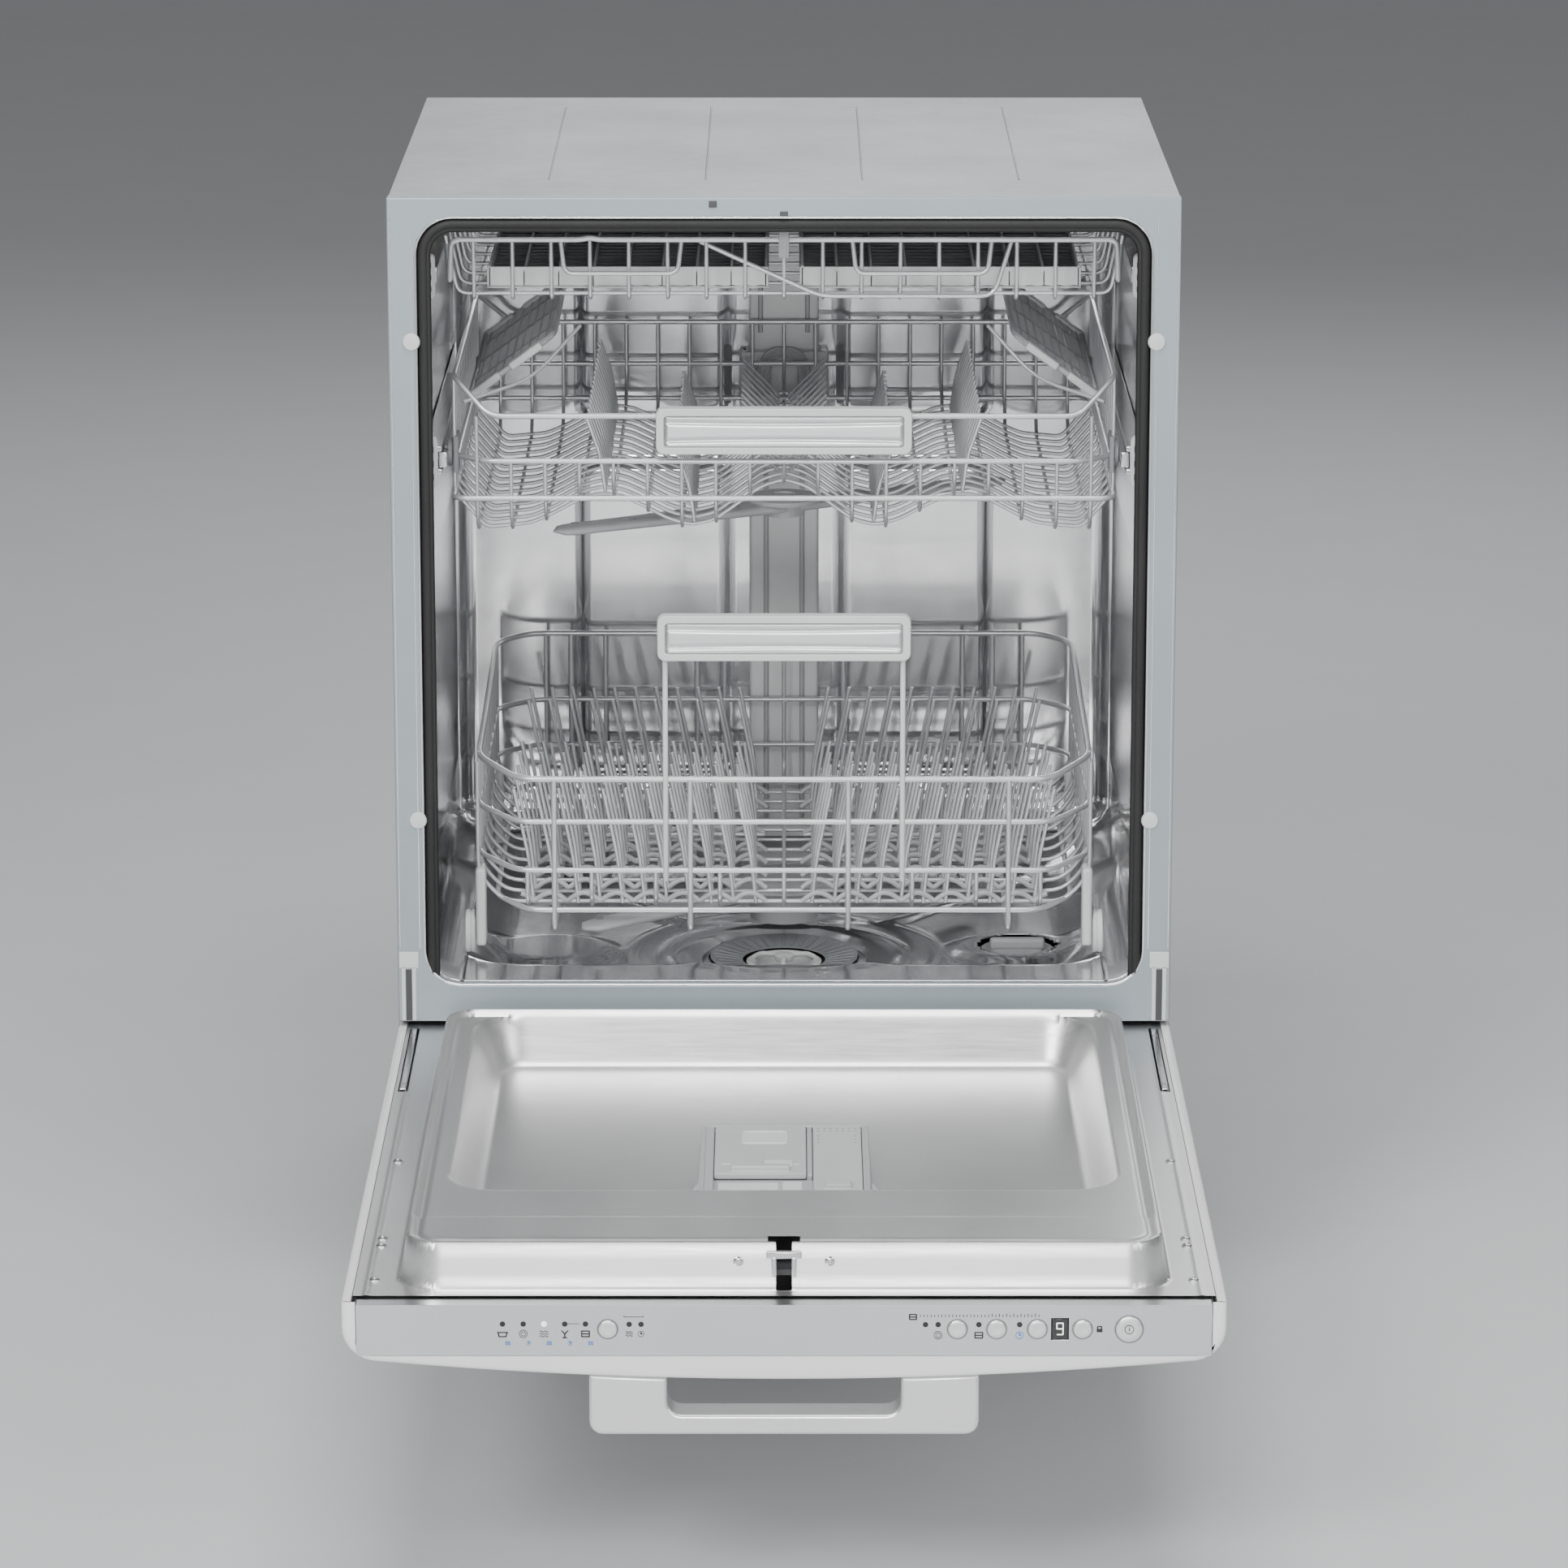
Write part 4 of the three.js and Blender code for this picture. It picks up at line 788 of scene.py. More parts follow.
def make_lower_basket():
    h = Box("lower_basket").x1 - WIRE
    f = LOWER.y0 + WIRE
    b = LOWER.y1 - WIRE
    rim = LIP + 151 * MM
    low = LIP + 46 * MM
    t = Bundle()
    t.wire([(-h + 34 * MM, f, rim), (h - 34 * MM, f, rim), (h, f + 60 * MM, rim + 4 * MM), (h, b - 30 * MM, rim + 22 * MM),
            (h - 26 * MM, b, rim + 23 * MM), (-h + 26 * MM, b, rim + 23 * MM), (-h, b - 30 * MM, rim + 22 * MM),
            (-h, f + 60 * MM, rim + 4 * MM)], WIRE * 1.1, 16 * MM, closed=True, sides=10)
    for z, cut in ((LIP + 117 * MM, 32), (LIP + 78 * MM, 32), (low, 26)):
        c = cut * MM
        a = h if z > low else h - 14 * MM
        t.wire([(-a + c, f, z), (a - c, f, z), (a, f + c * 1.7, z), (a, b - c, z), (a - c, b, z), (-a + c, b, z),
                (-a, b - c, z), (-a, f + c * 1.7, z)], WIRE, 14 * MM, closed=True, sides=10)
    for x in (-179 * MM, -73 * MM, 50 * MM, 175 * MM):
        t.wire([(x, f - 1 * MM, rim), (x, f - 1 * MM, low - 14 * MM), (x, f + 8 * MM, low - 17 * MM),
                (x, b - 10 * MM, low - 3 * MM), (x, b, low + 12 * MM), (x, b, rim + 23 * MM)], WIRE, 6 * MM)
    fine = Bundle()
    for y in spread(f + 34 * MM, b - 30 * MM, 12):
        top = rim + 4 * MM + 18 * MM * (y - f) / (b - f)
        fine.wire([(-h, y, top), (-h, y, low + 20 * MM), (-h + 20 * MM, y, low - 2 * MM), (h - 20 * MM, y, low - 2 * MM),
                   (h, y, low + 20 * MM), (h, y, top)], THIN * 1.1, 12 * MM)
    for x in spread(-h + 40 * MM, h - 40 * MM, 9):
        fine.wire([(x, f, LIP + 78 * MM), (x, f, low + 10 * MM), (x, f + 12 * MM, low), (x, b - 12 * MM, low),
                   (x, b, low + 12 * MM), (x, b, rim + 23 * MM)], THIN * 1.1, 8 * MM)
    strips = Bundle()
    fold_y = Box("tine_rack_left").mid[1]
    for y in (f + 22 * MM, f + 62 * MM, f + 100 * MM, f + 140 * MM, f + 178 * MM, fold_y + 113 * MM, b - 46 * MM):
        for s in (-1, 1):
            strip(strips, s * 14 * MM, s * (h - 34 * MM), y, low + 1 * MM)
            for x in spread(22 * MM, h - 44 * MM, 11):
                tine(fine, s * x, y, low, s * 15 * MM, 92 * MM)
    t.put(fine.verts, fine.faces)
    t.make("lower_basket_wires", "wire", "lower_basket", ("lower_basket",))
    strips.make("tine_strips", "grey", "lower_basket")
    brackets = Bundle()
    for node in ("wheel_front_left", "wheel_front_right", "wheel_rear_left", "wheel_rear_right"):
        w = Box(node)
        s = math.copysign(1, w.mid[0])
        y, z = w.mid[1], w.mid[2]
        brackets.block(*sorted((s * (h - 6 * MM), s * (h + 1.8 * MM))), y - 11 * MM, y + 11 * MM, z - 10 * MM, low + 26 * MM)
    brackets.make("wheel_brackets", "pale", "lower_basket", bevel=2.5 * MM, segments=3)
    for side, s in (("left", -1), ("right", 1)):
        rack = Box(f"tine_rack_{side}")
        row = Bundle()
        z = rack.z0 + WIRE
        row.wire([(s * 16 * MM, rack.mid[1], z), (s * (h - 38 * MM), rack.mid[1], z)], WIRE, 1 * MM)
        for x in spread(22 * MM, h - 44 * MM, 11):
            tine(row, s * x, rack.mid[1], z, s * 10 * MM, 76 * MM)
        row.make(f"tine_rack_{side}_wires", "wire", f"tine_rack_{side}", (f"tine_rack_{side}",))
        clips = Bundle()
        strip(clips, s * 16 * MM, s * (h - 40 * MM), rack.mid[1], z + 1 * MM, tall=5 * MM)
        clips.make(f"tine_rack_{side}_strip", "grey", f"tine_rack_{side}")


def make_wheels():
    for node in ("wheel_front_left", "wheel_front_right", "wheel_rear_left", "wheel_rear_right"):
        w = Box(node)
        s = math.copysign(1, w.mid[0])
        r = (w.z1 - w.z0) / 2
        outer = max(abs(w.x0), abs(w.x1))
        wheel = Bundle()
        profile = [(3 * MM, -14 * MM), (3.2 * MM, -9 * MM), (r - 3 * MM, -9 * MM), (r, -8 * MM), (r, -6 * MM), (r - 1 * MM, -5 * MM),
                   (r, -4 * MM), (r, -1.6 * MM), (r - 2 * MM, -0.4 * MM), (r - 5 * MM, -0.4 * MM), (r - 6 * MM, -2 * MM),
                   (6 * MM, -2.4 * MM), (5 * MM, -0.3 * MM), (2 * MM, -0.2 * MM)]
        wheel.lathe([(a, s * h) for a, h in profile], (s * outer, w.mid[1], w.mid[2]), "x", 36)
        row = "front" if "front" in node else "rear"
        wheel.make(node + "_roller", "pale", f"{row}_wheels", (node,))
        spokes = Bundle()
        for k in range(6):
            a = k * math.pi / 3
            c, d = math.cos(a), math.sin(a)
            spokes.wire([(s * (outer - 1.8 * MM), w.mid[1] + c * 5 * MM, w.mid[2] + d * 5 * MM),
                         (s * (outer - 1.8 * MM), w.mid[1] + c * (r - 6 * MM), w.mid[2] + d * (r - 6 * MM))], 0.8 * MM, 1 * MM,
                        sides=6)
        spokes.make(node + "_spokes", "pale", f"{row}_wheels")


make_upper_basket()
make_grip("upper_basket_handle", "upper_basket")
make_grip("lower_basket_handle", "lower_basket", LIP + 70 * MM)
make_cup_shelf("left", -1)
make_cup_shelf("right", 1)
make_rails()
make_tray()
make_lower_basket()
make_wheels()


# ---------------------------------------------------------------- spray arms, filter, salt cap
def make_arm(node, hub_radius, dish):
    a = Box(node)
    hub_y = a.mid[1]
    turn = -math.atan2(a.wide, a.y1 - a.y0)
    reach = math.hypot(a.wide, a.y1 - a.y0) / 2 - 4 * MM
    blade_z = a.z0 if dish is None else a.z0 + dish
    c, s = math.cos(turn), math.sin(turn)

    def at(x, y, z):
        return (x * c - y * s, hub_y + x * s + y * c, z)

    arm = Bundle()
    rows = spread(-reach, reach, 61)
    ring = 20
    verts = []
    for y in rows:
        t = abs(y) / reach
        half = (17 - 5 * t) * MM * math.sqrt(max(0.02, 1 - max(0, (t - 0.93) / 0.07) ** 2))
        tall = 4.6 * MM * (1 - 0.25 * t) * math.sqrt(max(0.05, 1 - max(0, (t - 0.93) / 0.07) ** 2))
        for k in range(ring):
            w = 2 * math.pi * k / ring
            x = half * math.copysign(abs(math.cos(w)) ** 0.6, math.cos(w))
            z = tall * math.copysign(abs(math.sin(w)) ** 0.8, math.sin(w))
            verts.append(at(x, y, blade_z + 4.6 * MM + z))
    faces = [(j * ring + k, j * ring + (k + 1) % ring, (j + 1) * ring + (k + 1) % ring, (j + 1) * ring + k)
             for j in range(len(rows) - 1) for k in range(ring)]
    faces += [tuple(reversed(range(ring))), tuple(range((len(rows) - 1) * ring, len(rows) * ring))]
    arm.put(verts, faces)
    top = a.z1
    arm.lathe([(hub_radius * 0.55, a.z0), (hub_radius * 0.6, top - 8 * MM), (hub_radius * 0.97, top - 6 * MM),
               (hub_radius, top - 4 * MM), (hub_radius * 0.985, top - 2.4 * MM), (hub_radius * 0.86, top - 1.2 * MM),
               (hub_radius * 0.84, top - 2.2 * MM), (hub_radius * 0.80, top - 2.2 * MM), (hub_radius * 0.78, top - 1 * MM),
               (hub_radius * 0.3, top - 0.2 * MM), (hub_radius * 0.28, top - 1.4 * MM), (2 * MM, top - 1.4 * MM)],
              (0, hub_y, 0), sides=64)
    arm.make(node + "_body", "grey", node, (node,))
    jets = Bundle()
    for k, y in enumerate(spread(-reach * 0.9, reach * 0.9, 9)):
        if abs(y) < hub_radius + 4 * MM:
            continue
        x = (5 if k % 2 else -5) * MM
        px, py, _ = at(x, y, 0)
        z = blade_z + 4.6 * MM + 4.2 * MM * (1 - 0.25 * abs(y) / reach)
        jets.lathe([(3.4 * MM, -1 * MM), (3.2 * MM, 0.6 * MM), (1.6 * MM, 0.7 * MM), (1.2 * MM, -0.6 * MM)], (px, py, z), sides=16)
    jets.make(node + "_jets", "dim", node)


def make_filter():
    m = Box("micro_filter")
    x, y = m.mid[0], m.mid[1]
    r = m.wide / 2
    top = m.z1 - 6 * MM
    plate = Bundle()
    plate.lathe([(r + 3 * MM, top - 1 * MM), (r + 5 * MM, top - 0.5 * MM), (48 * MM, top + 1.5 * MM),
                 (58.5 * MM, top + 4 * MM), (59 * MM, top + 2 * MM)], (0, SUMP_Y, 0), sides=64, cap=False)
    for k in range(36):
        w = 2 * math.pi * k / 36
        plate.wire([(math.cos(w) * (r + 6 * MM), SUMP_Y + math.sin(w) * (r + 6 * MM), top + 0.3 * MM),
                    (math.cos(w) * 56 * MM, SUMP_Y + math.sin(w) * 56 * MM, top + 3.8 * MM)], 0.7 * MM, 1 * MM, sides=6)
    plate.make("flat_filter", "dim", "cabinet")
    cup = Bundle()
    cup.lathe([(r - 4 * MM, m.z0), (r - 1 * MM, m.z0 + 1 * MM), (r - 1 * MM, top - 3 * MM), (r, top - 2 * MM), (r, top),
               (r - 2 * MM, top + 1 * MM), (r - 3.4 * MM, top - 1 * MM), (r - 3.4 * MM, m.z0 + 4 * MM), (2 * MM, m.z0 + 4 * MM)],
              (x, y, 0), sides=48)
    for k in range(3):
        w = 2 * math.pi * k / 3 + 0.5
        cup.wire([(x + math.cos(w) * (r - 2 * MM), y + math.sin(w) * (r - 2 * MM), top - 1 * MM),
                  (x + math.cos(w) * (r - 9 * MM), y + math.sin(w) * (r - 9 * MM), m.z1 - 3 * MM),
                  (x + math.cos(w) * 4 * MM, y + math.sin(w) * 4 * MM, m.z1 - 2 * MM)], 2.2 * MM, 4 * MM)
    cup.lathe([(7 * MM, m.z1 - 6 * MM), (8 * MM, m.z1 - 4 * MM), (8 * MM, m.z1 - 1 * MM), (6 * MM, m.z1)], (x, y, 0), sides=32)
    cup.make("micro_filter_cup", "pale", "micro_filter", ("micro_filter",))
    net = Bundle()
    for z in spread(m.z0 + 4 * MM, top - 5 * MM, 9):
        net.lathe([(r - 0.9 * MM, z - 0.5 * MM), (r - 0.4 * MM, z), (r - 0.9 * MM, z + 0.5 * MM)], (x, y, 0), sides=48, cap=False)
    for k in range(28):
        w = 2 * math.pi * k / 28
        px, py = x + math.cos(w) * (r - 0.7 * MM), y + math.sin(w) * (r - 0.7 * MM)
        net.wire([(px, py, m.z0 + 2 * MM), (px, py, top - 3 * MM)], 0.5 * MM, 1 * MM, sides=5)
    net.make("micro_filter_net", "dim", "micro_filter")


def make_salt_cap():
    x, y = SALT.mid[0], SALT.mid[1]
    r = SALT.wide / 2
    flat = SALT.z1 - 9 * MM
    cap = Bundle()
    profile = [(r - 4 * MM, SALT.z0), (r, SALT.z0 + 1 * MM), (r, flat - 1 * MM), (r - 1.4 * MM, flat), (r - 5 * MM, flat),
               (r - 6 * MM, flat - 1.4 * MM), (r - 9 * MM, flat - 1.4 * MM), (r - 10 * MM, flat), (2 * MM, flat + 0.6 * MM)]
    cap.lathe(profile, (x, y, 0), sides=56)
    for k in range(28):
        w = 2 * math.pi * k / 28
        px, py = x + math.cos(w) * (r - 0.6 * MM), y + math.sin(w) * (r - 0.6 * MM)
        cap.wire([(px, py, SALT.z0 + 1.5 * MM), (px, py, flat - 1.2 * MM)], 0.6 * MM, 1 * MM, sides=6)
    cap.make("salt_cap_body", "grey", "salt_cap", ("salt_cap",))
    grip = Bundle()
    grip.block(x - 22 * MM, x + 22 * MM, y - 4 * MM, y + 4 * MM, flat - 1 * MM, SALT.z1)
    grip.make("salt_cap_grip", "grey", "salt_cap", bevel=3 * MM, segments=4)


# ---------------------------------------------------------------- door
FLANGE = LINER.z1 - 32 * MM
ISLAND_TOP = LINER.z1
ISLAND_HALF = 262 * MM
ISLAND = (Box("door_latch").y0 - 1 * MM, FRONT - 56 * MM)
PAN = (ISLAND[0] + 128 * MM, ISLAND[1] - 6 * MM)
PAN_FLOOR = ISLAND_TOP - 40 * MM
ARM = Box("hinge_arm_right")
LATCH = Box("door_latch")
DISPENSER = Box("dispenser_housing")


def liner_height(x, y):
    """The pressed steel inside of the door: rim, raised block, rails, ledges and the pan between them."""
    d = inside(x, y, -ISLAND_HALF, ISLAND_HALF, ISLAND[0], ISLAND[1], 30 * MM)
    rise = step(-0.5 * MM, 5.5 * MM, d)
    z = FLANGE + (ISLAND_TOP - FLANGE) * rise
    z -= 1.6 * MM * math.exp(-((d - 12 * MM) / (2.2 * MM)) ** 2)
    ledge = ISLAND[0] + 66 * MM
    z -= 3.2 * MM * step(ledge - 3 * MM, ledge + 4 * MM, y) * step(6 * MM, 12 * MM, d)
    p = inside(x, y, -240 * MM, 240 * MM, PAN[0], PAN[1], 44 * MM)
    if p > 0:
        pan = PAN_FLOOR + (ISLAND_TOP - PAN_FLOOR) * (1 - step(0, 26 * MM, p))
        z = min(z, pan)
    bead = inside(x, y, -(LINER.x1 - 9 * MM), LINER.x1 - 9 * MM, LINER.y0 - 20 * MM, LINER.y1 - 6 * MM, 6 * MM)
    z += 0.0 if d > -2 * MM else 0.5 * MM * math.exp(-(bead / (1.6 * MM)) ** 2) - 0.4 * MM
    return min(z, LINER.z1)


def make_liner():
    def clear(x, y):
        if ARM.x0 - 1 * MM < abs(x) < ARM.x1 + 1 * MM and y > ARM.y0 - 1 * MM and y < ARM.y1 + 1 * MM:
            return False
        if abs(x) < 11 * MM and ISLAND[0] + 9 * MM < y < ISLAND[0] + 20 * MM:
            return False
        if abs(x) < 5.5 * MM and ISLAND[0] - 1 * MM < y < ISLAND[0] + 20 * MM:
            return False
        return not (DISPENSER.x0 + 8 * MM < x < DISPENSER.x1 - 8 * MM and DISPENSER.y0 + 8 * MM < y < DISPENSER.y1 - 8 * MM)

    columns = [0.0]
    for edge, count in ((22 * MM, 9), (ISLAND_HALF - 64 * MM, 44), (ISLAND_HALF + 4 * MM, 46), (LINER.x1, 22)):
        columns += spread(columns[-1], edge, count)[1:]
    columns = [-c for c in reversed(columns[1:])] + columns
    rows = []
    for a, b, count in ((LINER.y0, ISLAND[0] - 2 * MM, 8), (ISLAND[0] - 2 * MM, ISLAND[0] + 40 * MM, 34),
                        (ISLAND[0] + 40 * MM, PAN[0] + 50 * MM, 70), (PAN[0] + 50 * MM, ISLAND[1] - 44 * MM, 60),
                        (ISLAND[1] - 44 * MM, LINER.y1, 60)):
        rows += spread(a, b, count)[(1 if rows else 0):]
    steel = Bundle()
    steel.put(*sheet_of(columns, rows, lambda x, y: (x, y, liner_height(x, y)), clear))
    steel.make("door_liner_steel", "liner", "door", ("door_liner",))
    screws = Bundle()
    for s in (-1, 1):
        for y in (ISLAND[0] + 22 * MM, ISLAND[0] + 96 * MM, ISLAND[0] + 112 * MM, ISLAND[0] + 290 * MM):
            screws.lathe([(3.6 * MM, -0.5 * MM), (3.6 * MM, 0.5 * MM), (2.8 * MM, 1.1 * MM), (1.4 * MM, 1.2 * MM), (1.2 * MM, 0.4 * MM)],
                         (s * (LINER.x1 - 13 * MM), y, FLANGE), sides=20)
        screws.lathe([(3.4 * MM, 0.8 * MM), (3.4 * MM, -0.6 * MM), (2.6 * MM, -1.2 * MM), (1.2 * MM, -1.2 * MM), (1 * MM, -0.4 * MM)],
                     (s * 31 * MM, ISLAND[0] + 1.4 * MM, FLANGE + 20 * MM), "y", 20)
    screws.make("liner_screws", "bright", "door")


def make_latch():
    """A small steel hook on the block's front wall, and under the slot for the strike a dark slab that is painted shade
    for the inside of the latch.
    """
    # the dark slab at the bottom of the slot is painted shade
    well = Bundle()
    well.block(-12 * MM, 12 * MM, LATCH.y0 + 6 * MM, LATCH.y1 - 1 * MM, LATCH.z0, LATCH.z0 + 4 * MM)
    well.make("latch_well_shade", "dark", "door", ("door_latch",))
    y, top = ISLAND[0] + 0.4 * MM, LATCH.z1
    hook = Bundle()
    hook.block(-12 * MM, 12 * MM, y, y + 4.6 * MM, top - 9 * MM, top - 4 * MM)
    for s in (-1, 1):
        a, b = sorted((s * 5 * MM, s * 8.5 * MM))
        hook.block(a, b, y - 0.6 * MM, y + 3 * MM, top - 22 * MM, top - 8 * MM)
    hook.make("latch_hook", "bright", "door", bevel=0.8 * MM, segments=3)


def make_strike():
    s = Box("strike")
    mouth = Bundle()
    mouth.block(s.x0, s.x1, s.y0, s.y1, s.z1 - 3 * MM, s.z1)
    mouth.block(-4 * MM, 4 * MM, s.y0, s.y0 + 5 * MM, s.z0, s.z1 - 2 * MM)
    mouth.block(-4 * MM, 4 * MM, s.y0, s.y0 + 9 * MM, s.z0, s.z0 + 3 * MM)
    mouth.make("strike_hook", "dim", "cabinet", ("strike",), bevel=0.6 * MM)


def skin_low(x, grow=0.0):
    t = x / PANEL.x1
    return PANEL.z0 + 15 * MM * t * t + grow


def skin_outline(inset, steps=48):
    w = PANEL.x1 - inset
    r = 24 * MM
    out = []
    for i in range(9):
        a = math.pi + i / 8 * math.pi / 2
        out.append((-w + r + r * math.cos(a), skin_low(-w + r) + r + r * math.sin(a) + inset))
    out += [(x, skin_low(x) + inset) for x in spread(-w + r, w - r, steps)[1:-1]]
    for i in range(9):
        a = math.pi * 1.5 + i / 8 * math.pi / 2
        out.append((w - r + r * math.cos(a), skin_low(w - r) + r + r * math.sin(a) + inset))
    return [(-w, PANEL.z1 - 0.2 * MM)] + out + [(w, PANEL.z1 - 0.2 * MM)]


def make_panel():
    """White outer panel: bulged skin, rolled edges, the end that frames the controls and the rim beside the liner."""
    ends = [(0.0, 3.4), (0.5, 1.9), (1.4, 0.8), (2.8, 0.2), (4.4, 0.0)]
    stations = [(PANEL.y0 + a * MM, i * MM) for a, i in ends]
    stations += [(y, 0) for y in spread(PANEL.y0 + 30 * MM, PANEL.y1 - 30 * MM, 14)]
    stations += [(PANEL.y1 - a * MM, i * MM) for a, i in reversed(ends)]
    skin = Bundle()
    rings = [skin_outline(inset) for _, inset in stations]
    n = len(rings[0])
    verts = [(x, y, z) for (y, _), ring in zip(stations, rings) for x, z in ring]
    faces = [(j * n + k, j * n + k + 1, (j + 1) * n + k + 1, (j + 1) * n + k)
             for j in range(len(stations) - 1) for k in range(n - 1)]
    skin.put(verts, faces)
    window = (FASCIA.x1 + 0.5 * MM, FASCIA.z0 - 0.5 * MM)

    def frame_point(x, z):
        return (max(-window[0], min(window[0], x)), max(window[1], min(z, PANEL.z1)) if abs(x) > window[0] else window[1])

    first = rings[0]
    for y_in, y_out in ((PANEL.y0, PANEL.y0),):
        inner = [frame_point(x, z) for x, z in first]
        verts = [(x, y_out, z) for x, z in first] + [(x, y_in + 0.2 * MM, z) for x, z in inner] \
            + [(x, y_in + 12 * MM, z) for x, z in inner]
        faces = [(r * n + k, r * n + k + 1, (r + 1) * n + k + 1, (r + 1) * n + k) for r in range(2) for k in range(n - 1)]
        skin.put(verts, faces)
    last = [(x, PANEL.y1, z) for x, z in rings[-1]]
    skin.put(last, [tuple(range(n))])
    rim = LINER.x1 + 0.3 * MM
    for s in (-1, 1):
        rows = spread(PANEL.y0 + 1 * MM, PANEL.y1 - 1 * MM, 20)
        section = [(PANEL.x1 - 0.0 * MM, PANEL.z1 - 1.2 * MM), (PANEL.x1 - 0.5 * MM, PANEL.z1 - 0.2 * MM),
                   (PANEL.x1 - 1.4 * MM, PANEL.z1), (rim + 1 * MM, PANEL.z1), (rim + 0.2 * MM, PANEL.z1 - 0.4 * MM),
                   (rim, PANEL.z1 - 6 * MM)]
        verts = [(s * x, y, z) for y in rows for x, z in section]
        m = len(section)
        skin.put(verts, [(j * m + k, j * m + k + 1, (j + 1) * m + k + 1, (j + 1) * m + k)
                         for j in range(len(rows) - 1) for k in range(m - 1)])
    skin.make("door_panel_skin", "white", "door", ("door_outer_panel",))


def ring_mark(bundle, x, z, r, width, y):
    bundle.lathe([(r, 0), (r, -0.25 * MM), (r - width, -0.25 * MM), (r - width, 0)], (x, y, z), "y", 32, cap=False)


def disc_mark(bundle, x, z, r, y, sides=20):
    bundle.lathe([(r, 0.1 * MM), (r, -0.25 * MM), (0.05 * MM, -0.3 * MM)], (x, y, z), "y", sides)


def stroke(bundle, points, y, width=0.48 * MM):
    bundle.wire([(x, y - 0.05 * MM, z) for x, z in points], width, 0.2 * MM, sides=6)


def symbol(bundle, kind, x, z, y, s=MM):
    """Small generic pictures: tray, drops, plate, clock, half, glass, lock."""
    if kind == "pot":
        stroke(bundle, [(x - 3 * s, z + 1 * s), (x - 2.4 * s, z - 2 * s), (x + 2.4 * s, z - 2 * s), (x + 3 * s, z + 1 * s)], y)
        stroke(bundle, [(x - 3.8 * s, z + 1 * s), (x + 3.8 * s, z + 1 * s)], y)
    elif kind == "glass":
        stroke(bundle, [(x - 2.2 * s, z + 2.4 * s), (x, z - 0.2 * s), (x + 2.2 * s, z + 2.4 * s)], y)
        stroke(bundle, [(x, z), (x, z - 2.6 * s)], y)
        stroke(bundle, [(x - 1.6 * s, z - 2.7 * s), (x + 1.6 * s, z - 2.7 * s)], y)
    elif kind == "clock":
        ring_mark(bundle, x, z, 2.7 * s, 0.45 * s, y)
        stroke(bundle, [(x, z + 1.6 * s), (x, z), (x + 1.2 * s, z)], y)
    elif kind == "plate":
        ring_mark(bundle, x, z, 2.9 * s, 0.45 * s, y)
        ring_mark(bundle, x, z, 1.7 * s, 0.4 * s, y)
    elif kind == "half":
        stroke(bundle, [(x - 2.6 * s, z - 2 * s), (x - 2.6 * s, z + 2 * s), (x + 2.6 * s, z + 2 * s), (x + 2.6 * s, z - 2 * s),
                        (x - 2.6 * s, z - 2 * s)], y)
        stroke(bundle, [(x - 2.6 * s, z), (x + 2.6 * s, z)], y)
    elif kind == "wave":
        for k in (-1, 0, 1):
            pts = [(x + (t - 3) * s, z + (k * 1.7 + 0.6 * math.sin(t * 2.1)) * s) for t in range(7)]
            stroke(bundle, pts, y, 0.28 * MM)
    elif kind == "lock":
        stroke(bundle, [(x - 1.3 * s, z), (x - 1.3 * s, z + 1.8 * s), (x + 1.3 * s, z + 1.8 * s), (x + 1.3 * s, z)], y)
        bundle.block(x - 2 * s, x + 2 * s, y - 0.3 * MM, y + 0.1 * MM, z - 2.2 * s, z + 0.2 * s)


